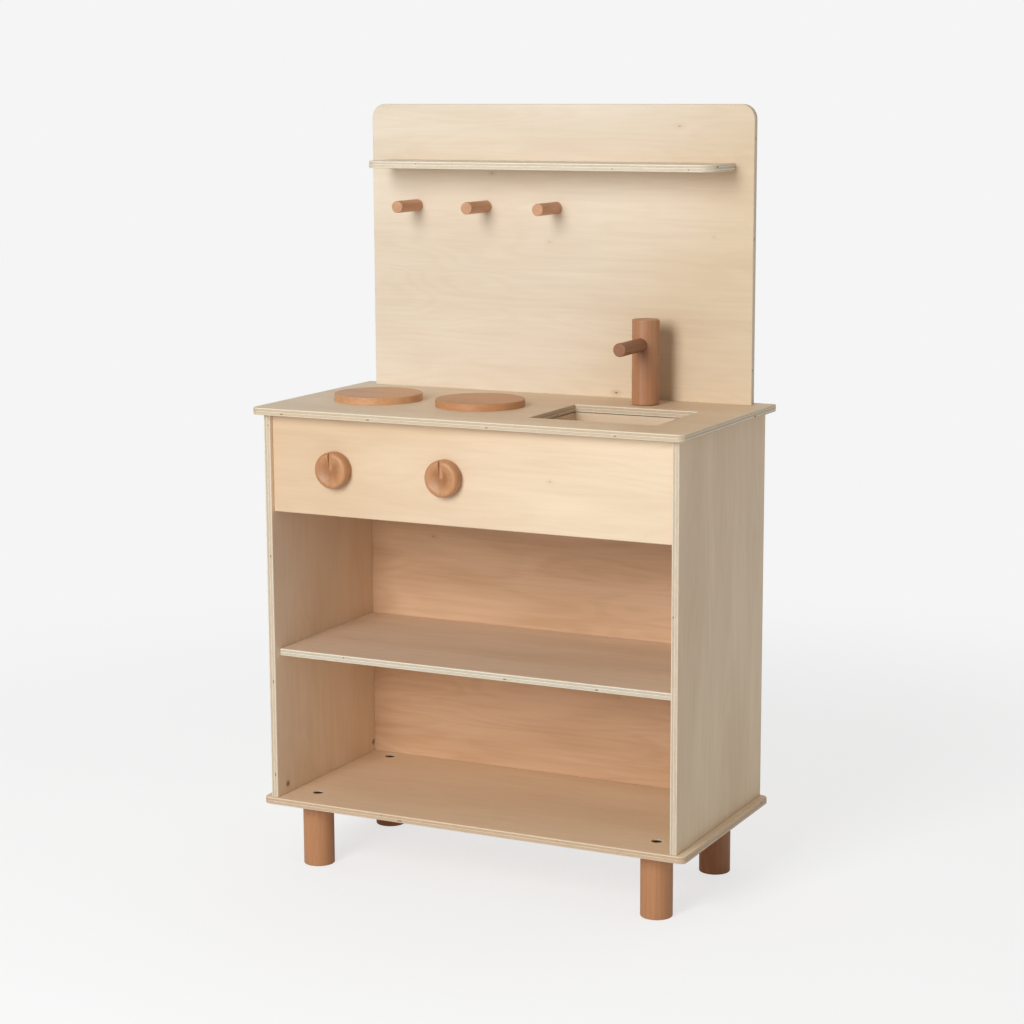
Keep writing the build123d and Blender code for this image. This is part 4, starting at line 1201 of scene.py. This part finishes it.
class KITCHEN_OT_fixings(bpy.types.Operator):
    """Bolts, screws and barrel nuts that show"""

    bl_idname = "kitchen.fixings"
    bl_label = "Fixings"

    # Each group of bolts: its node and body, the way its heads face, the radius and height of its
    # heads, and the radius of its shanks and sockets, in millimetres
    bolts = (
        ("leg_bolts", CABINET, Z_AXIS, 6.2, 2.4, 3, 3.0),
        ("base_bolts", CABINET, -Z_AXIS, 3.9, 2, 2, 1.5),
        ("splashback_bolts", CABINET, -Z_AXIS, 3.9, 2, 2, 1.5),
        ("tap_bolt", TAP, -Z_AXIS, 5.5, 4, 3, 2.5),
        ("left_knob_bolt", "left_knob_set", Y_AXIS, 4.5, 3, 2.5, 1.9),
        ("right_knob_bolt", "right_knob_set", Y_AXIS, 4.5, 3, 2.5, 1.9),
    )
    screws = (
        ("ledge_screws", Y_AXIS), ("peg_screws", Y_AXIS), ("sink_screws", -Z_AXIS),
        ("hob_screws", -Z_AXIS),
    )
    socket_depth, bright_reach = 1 * MM, 2.5 * MM
    bolt_ease, screw_ease, nut_ease = 0.35 * MM, 0.15 * MM, 0.3 * MM
    screw_head, screw_shank = 3.4 * MM, 1.75 * MM  # radii
    cross_reach, cross_half_width, cross_depth = 1.8 * MM, 0.45 * MM, 1.2 * MM
    slot_half_width, slot_depth = 0.5 * MM, 1 * MM

    def execute(self, context):
        for node, body, out, *sizes in self.bolts:
            boxes = solids_of(node)
            parts = [self.bolt(box, out, *(size * MM for size in sizes)) for box in boxes]
            piece = self.finish(parts, node, body, "dark_steel", black_steel())
            # The leg bolts' sockets get the paler zinc steel: a painted highlight.
            if node == "leg_bolts":
                self.paint_socket_highlights(piece, [centre_of(box) for box in boxes])
        for node, out in self.screws:
            parts = [self.screw(box, out) for box in solids_of(node)]
            self.finish(parts, node, CABINET, "zinc_steel", zinc_steel())
        for node, out in (("base_barrel_nuts", None), ("splashback_barrel_nuts", Y_AXIS)):
            parts = [
                self.barrel_nut(box, out or -X_AXIS * math.copysign(1, centre_of(box).x))
                for box in solids_of(node)
            ]
            self.finish(parts, node, CABINET, "zinc_steel", zinc_steel())
        return {"FINISHED"}

    @staticmethod
    def finish(parts, node, body, slot, material):
        """Makes a group of like fixings one piece."""
        piece = make_piece(join(parts), f"{node}_set", body, material, node)
        even_normals(piece)
        return piece

    def paint_socket_highlights(self, piece, axes):
        """Paints a highlight into the sockets of the leg bolts, by giving them the paler zinc
        steel.
        """
        piece.data.materials.append(zinc_steel())
        for face in piece.data.polygons:
            reach = min((face.center - axis).xy.length for axis in axes)
            if face.normal.z > 0.5 and reach < self.bright_reach:
                face.material_index = 1

    @staticmethod
    def head_top(box, out):
        """The middle of the head's top, and the fixing's length."""
        centre, half = centre_of(box), (box[1] - box[0]) / 2
        reach = abs(half.dot(out))
        return centre + out * reach, 2 * reach

    def bolt(self, box, out, head, head_height, shank, socket):
        """A socket bolt drawn from its tip up to its head."""
        top, length = self.head_top(box, out)
        ease, under_head = self.bolt_ease, length - head_height
        profile = [(0, 0), (shank - ease, 0), (shank, ease), (shank, under_head)]
        profile += [(head - 0.1 * MM, under_head), (head, under_head + 0.1 * MM)]
        profile += arc((head - ease, length - ease), ease, 0, 90, 3) + [(0, length)]
        bm = turned(profile, top - out * length, out, 40)
        key = bmesh.new()
        add_rod(key, top, -out, socket, min(head_height * 0.8, self.socket_depth), 6)
        carve(bm, key)
        return bm

    def screw(self, box, out):
        """A countersunk screw with a cross recess."""
        top, length = self.head_top(box, out)
        head, shank, ease = self.screw_head, self.screw_shank, self.screw_ease
        profile = [(0, 0), (shank, 2 * shank), (shank, length - head + shank)]
        profile += [(head, length - ease), (head - ease, length), (0, length)]
        bm = turned(profile, top - out * length, out, 32)
        sideways = Z_AXIS if out == Y_AXIS else Y_AXIS
        for wide, narrow in ((X_AXIS, sideways), (sideways, X_AXIS)):
            half = wide * self.cross_reach + narrow * self.cross_half_width
            self.cut_slot(bm, top, out, half, self.cross_depth)
        return bm

    def barrel_nut(self, box, out):
        """A barrel nut with a driver slot in its end."""
        top, length = self.head_top(box, out)
        radius, ease = (box[1] - box[0]).z / 2, self.nut_ease
        bm = turned(rod_profile(radius, length, ease, ease, 3), top - out * length, out, 40)
        sideways = X_AXIS if out == Y_AXIS else Y_AXIS
        half = sideways * (radius + CUTTER_PROUD) + Z_AXIS * self.slot_half_width
        self.cut_slot(bm, top, out, half, self.slot_depth)
        return bm

    @staticmethod
    def cut_slot(bm, top, out, half, depth):
        """Cuts a driver's slot, half as wide as given, into the top."""
        carve_box(bm, top - out * depth - half, top + out * CUTTER_PROUD + half)


class KITCHEN_OT_hidden_fixings(bpy.types.Operator):
    """Finishes of the dowels, inserts and washers, which keep the frame's own shapes"""

    bl_idname = "kitchen.hidden_fixings"
    bl_label = "Hidden fixings"

    def execute(self, context):
        nylon = nylon_material("nylon", (0.62, 0.60, 0.53))
        for node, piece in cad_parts.items():
            if "dowels" in node:
                material = beech_material(node, "Z", (0, 0, 0))
            elif "insert" in node or node in ("knob_back_washers", "tap_under_washer"):
                material = zinc_steel()
            elif node in ("knob_front_washers", "tap_slip_washer"):
                material = nylon
            else:
                continue
            piece.data.materials.clear()
            piece.data.materials.append(material)
        return {"FINISHED"}


class KITCHEN_OT_stage(bpy.types.Operator):
    """Pale floor, soft light and the camera"""

    bl_idname = "kitchen.stage"
    bl_label = "Stage"
    floor_radius, fade_start, fade_end = 60, 0.7, 1.9
    rear_start, rear_end = -0.4, 1.2
    seen_grey, lighting_grey = (0.30, 0.30, 0.30, 1), (0.80, 0.80, 0.80, 1)
    key_place, key_aim, key_size = (-0.25, -3.1, 1.72), (0, 0, 0.66), (1.3, 2.2)
    sensor_width, clip_near, clip_far = 36, 0.05, 200

    def execute(self, context):
        scene = context.scene
        stage = scene.kitchen_stage
        scene.view_settings.view_transform = "Standard"
        scene.view_settings.look = "None"
        self.make_floor(stage)
        self.make_world(scene, stage)
        self.make_key(stage)
        self.make_camera(scene, stage)
        return {"FINISHED"}

    def make_floor(self, stage):
        """A wide round floor whose far part fades into the backdrop."""
        bm = bmesh.new()
        bmesh.ops.create_circle(bm, cap_ends=True, segments=96, radius=self.floor_radius)
        floor = add_object("floor", mesh_of(bm, "floor"))
        bm.free()
        material = bpy.data.materials.new("pale_floor")
        desk = clear_desk(material)
        place = desk.object_place()
        far = desk.ramp(desk.length(place), self.fade_start, self.fade_end)
        # What the camera sees is evened out, and what lights the object is a plain floor's light
        seen_near = desk.add("BsdfDiffuse", {"Color": self.seen_grey}).outputs[0]
        seen_near = desk.add("AddShader", {0: seen_near, 1: desk.glow(stage.floor_glow)}).outputs[0]
        seen_far = desk.glow(stage.backdrop)
        seen = desk.add("MixShader", {0: far, 1: seen_near, 2: seen_far}).outputs[0]
        near = desk.add("BsdfDiffuse", {"Color": self.lighting_grey}).outputs[0]
        rear = desk.ramp(desk.split(place)[Y], self.rear_start, self.rear_end)
        beyond = desk.glow(desk.add_share(rear, stage.floor_rear, stage.floor_far))
        lighting = desk.add("MixShader", {0: far, 1: near, 2: beyond}).outputs[0]
        to_camera = desk.add("LightPath").outputs["Is Camera Ray"]
        surface = desk.add("MixShader", {0: to_camera, 1: lighting, 2: seen}).outputs[0]
        desk.add("OutputMaterial", {"Surface": surface})
        floor.data.materials.append(material)

    @staticmethod
    def make_world(scene, stage):
        """Light that is stronger overhead and behind, and a plain backdrop to look at."""
        scene.world = bpy.data.worlds.new("studio")
        desk = clear_desk(scene.world)
        toward = desk.split(desk.add("TexCoord").outputs["Generated"])
        strength = stage.fill
        for axis, share in ((Y, stage.fill_behind), (Z, stage.fill_above), (X, stage.fill_right)):
            ahead = desk.math("MAXIMUM", toward[axis], 0.0)
            strength = desk.add_share(ahead, share, strength)
        light = desk.add("Background", {"Color": WHITE, "Strength": strength}).outputs[0]
        seen = desk.add("Background", {"Color": WHITE, "Strength": stage.backdrop}).outputs[0]
        to_camera = desk.add("LightPath").outputs["Is Camera Ray"]
        mixed = desk.add("MixShader", {0: to_camera, 1: light, 2: seen}).outputs[0]
        desk.add("OutputWorld", {"Surface": mixed})

    def make_key(self, stage):
        """A wide soft light in front, well above the worktop."""
        light = bpy.data.lights.new("key", "AREA")
        light.shape = "ELLIPSE"
        light.size, light.size_y = self.key_size
        light.energy = stage.key_strength
        key = add_object("key", light)
        key.location = self.key_place
        key.rotation_mode = "QUATERNION"
        key.rotation_quaternion = (Vector(self.key_aim) - key.location).to_track_quat("-Z", "Y")

    def make_camera(self, scene, stage):
        """The camera, to the right of the object and level with its top."""
        data = bpy.data.cameras.new("camera")
        data.sensor_width, data.lens = self.sensor_width, stage.lens
        data.clip_start, data.clip_end = self.clip_near, self.clip_far
        camera = add_object("camera", data)
        aim = Euler((math.pi / 2 - stage.camera_tilt, 0, stage.camera_turn)).to_matrix().to_4x4()
        roll = Matrix.Rotation(stage.camera_roll, 4, "Z")
        camera.matrix_world = Matrix.Translation(Vector(stage.camera_place)) @ aim @ roll
        scene.camera = camera


# ---------------------------------------------------------------- panel and registration

OPERATORS = (
    KITCHEN_OT_base,
    KITCHEN_OT_sides,
    KITCHEN_OT_back,
    KITCHEN_OT_shelf,
    KITCHEN_OT_fascia,
    KITCHEN_OT_worktop,
    KITCHEN_OT_splashback,
    KITCHEN_OT_sink,
    KITCHEN_OT_hobs,
    KITCHEN_OT_knobs,
    KITCHEN_OT_tap,
    KITCHEN_OT_pegs,
    KITCHEN_OT_legs,
    KITCHEN_OT_fixings,
    KITCHEN_OT_hidden_fixings,
    KITCHEN_OT_stage,
)


class VIEW3D_PT_kitchen(bpy.types.Panel):
    """Lists the kitchen's pieces in the order they are made"""

    bl_idname = "VIEW3D_PT_kitchen"
    bl_label = "Wooden toy kitchen"
    bl_space_type = "VIEW_3D"
    bl_region_type = "UI"
    bl_category = "Kitchen"

    def draw(self, context):
        for operator in OPERATORS:
            self.layout.operator(operator.bl_idname)


SETTINGS = {
    "kitchen_boards": BoardSettings,
    "kitchen_turnings": TurningSettings,
    "kitchen_stage": StageSettings,
}
CLASSES = (*SETTINGS.values(), *OPERATORS, VIEW3D_PT_kitchen)


def register():
    """Registers the classes and hangs the settings on the scene."""
    for cls in CLASSES:
        bpy.utils.register_class(cls)
    for name, group in SETTINGS.items():
        setattr(bpy.types.Scene, name, PointerProperty(type=group))


def unregister():
    """Takes the settings and the classes away again."""
    for name in SETTINGS:
        delattr(bpy.types.Scene, name)
    for cls in reversed(CLASSES):
        bpy.utils.unregister_class(cls)


def main():
    """Builds every piece and the stage."""
    register()
    for operator in OPERATORS:
        area, name = operator.bl_idname.split(".")
        getattr(getattr(bpy.ops, area), name)()


if __name__ == "__main__":
    main()
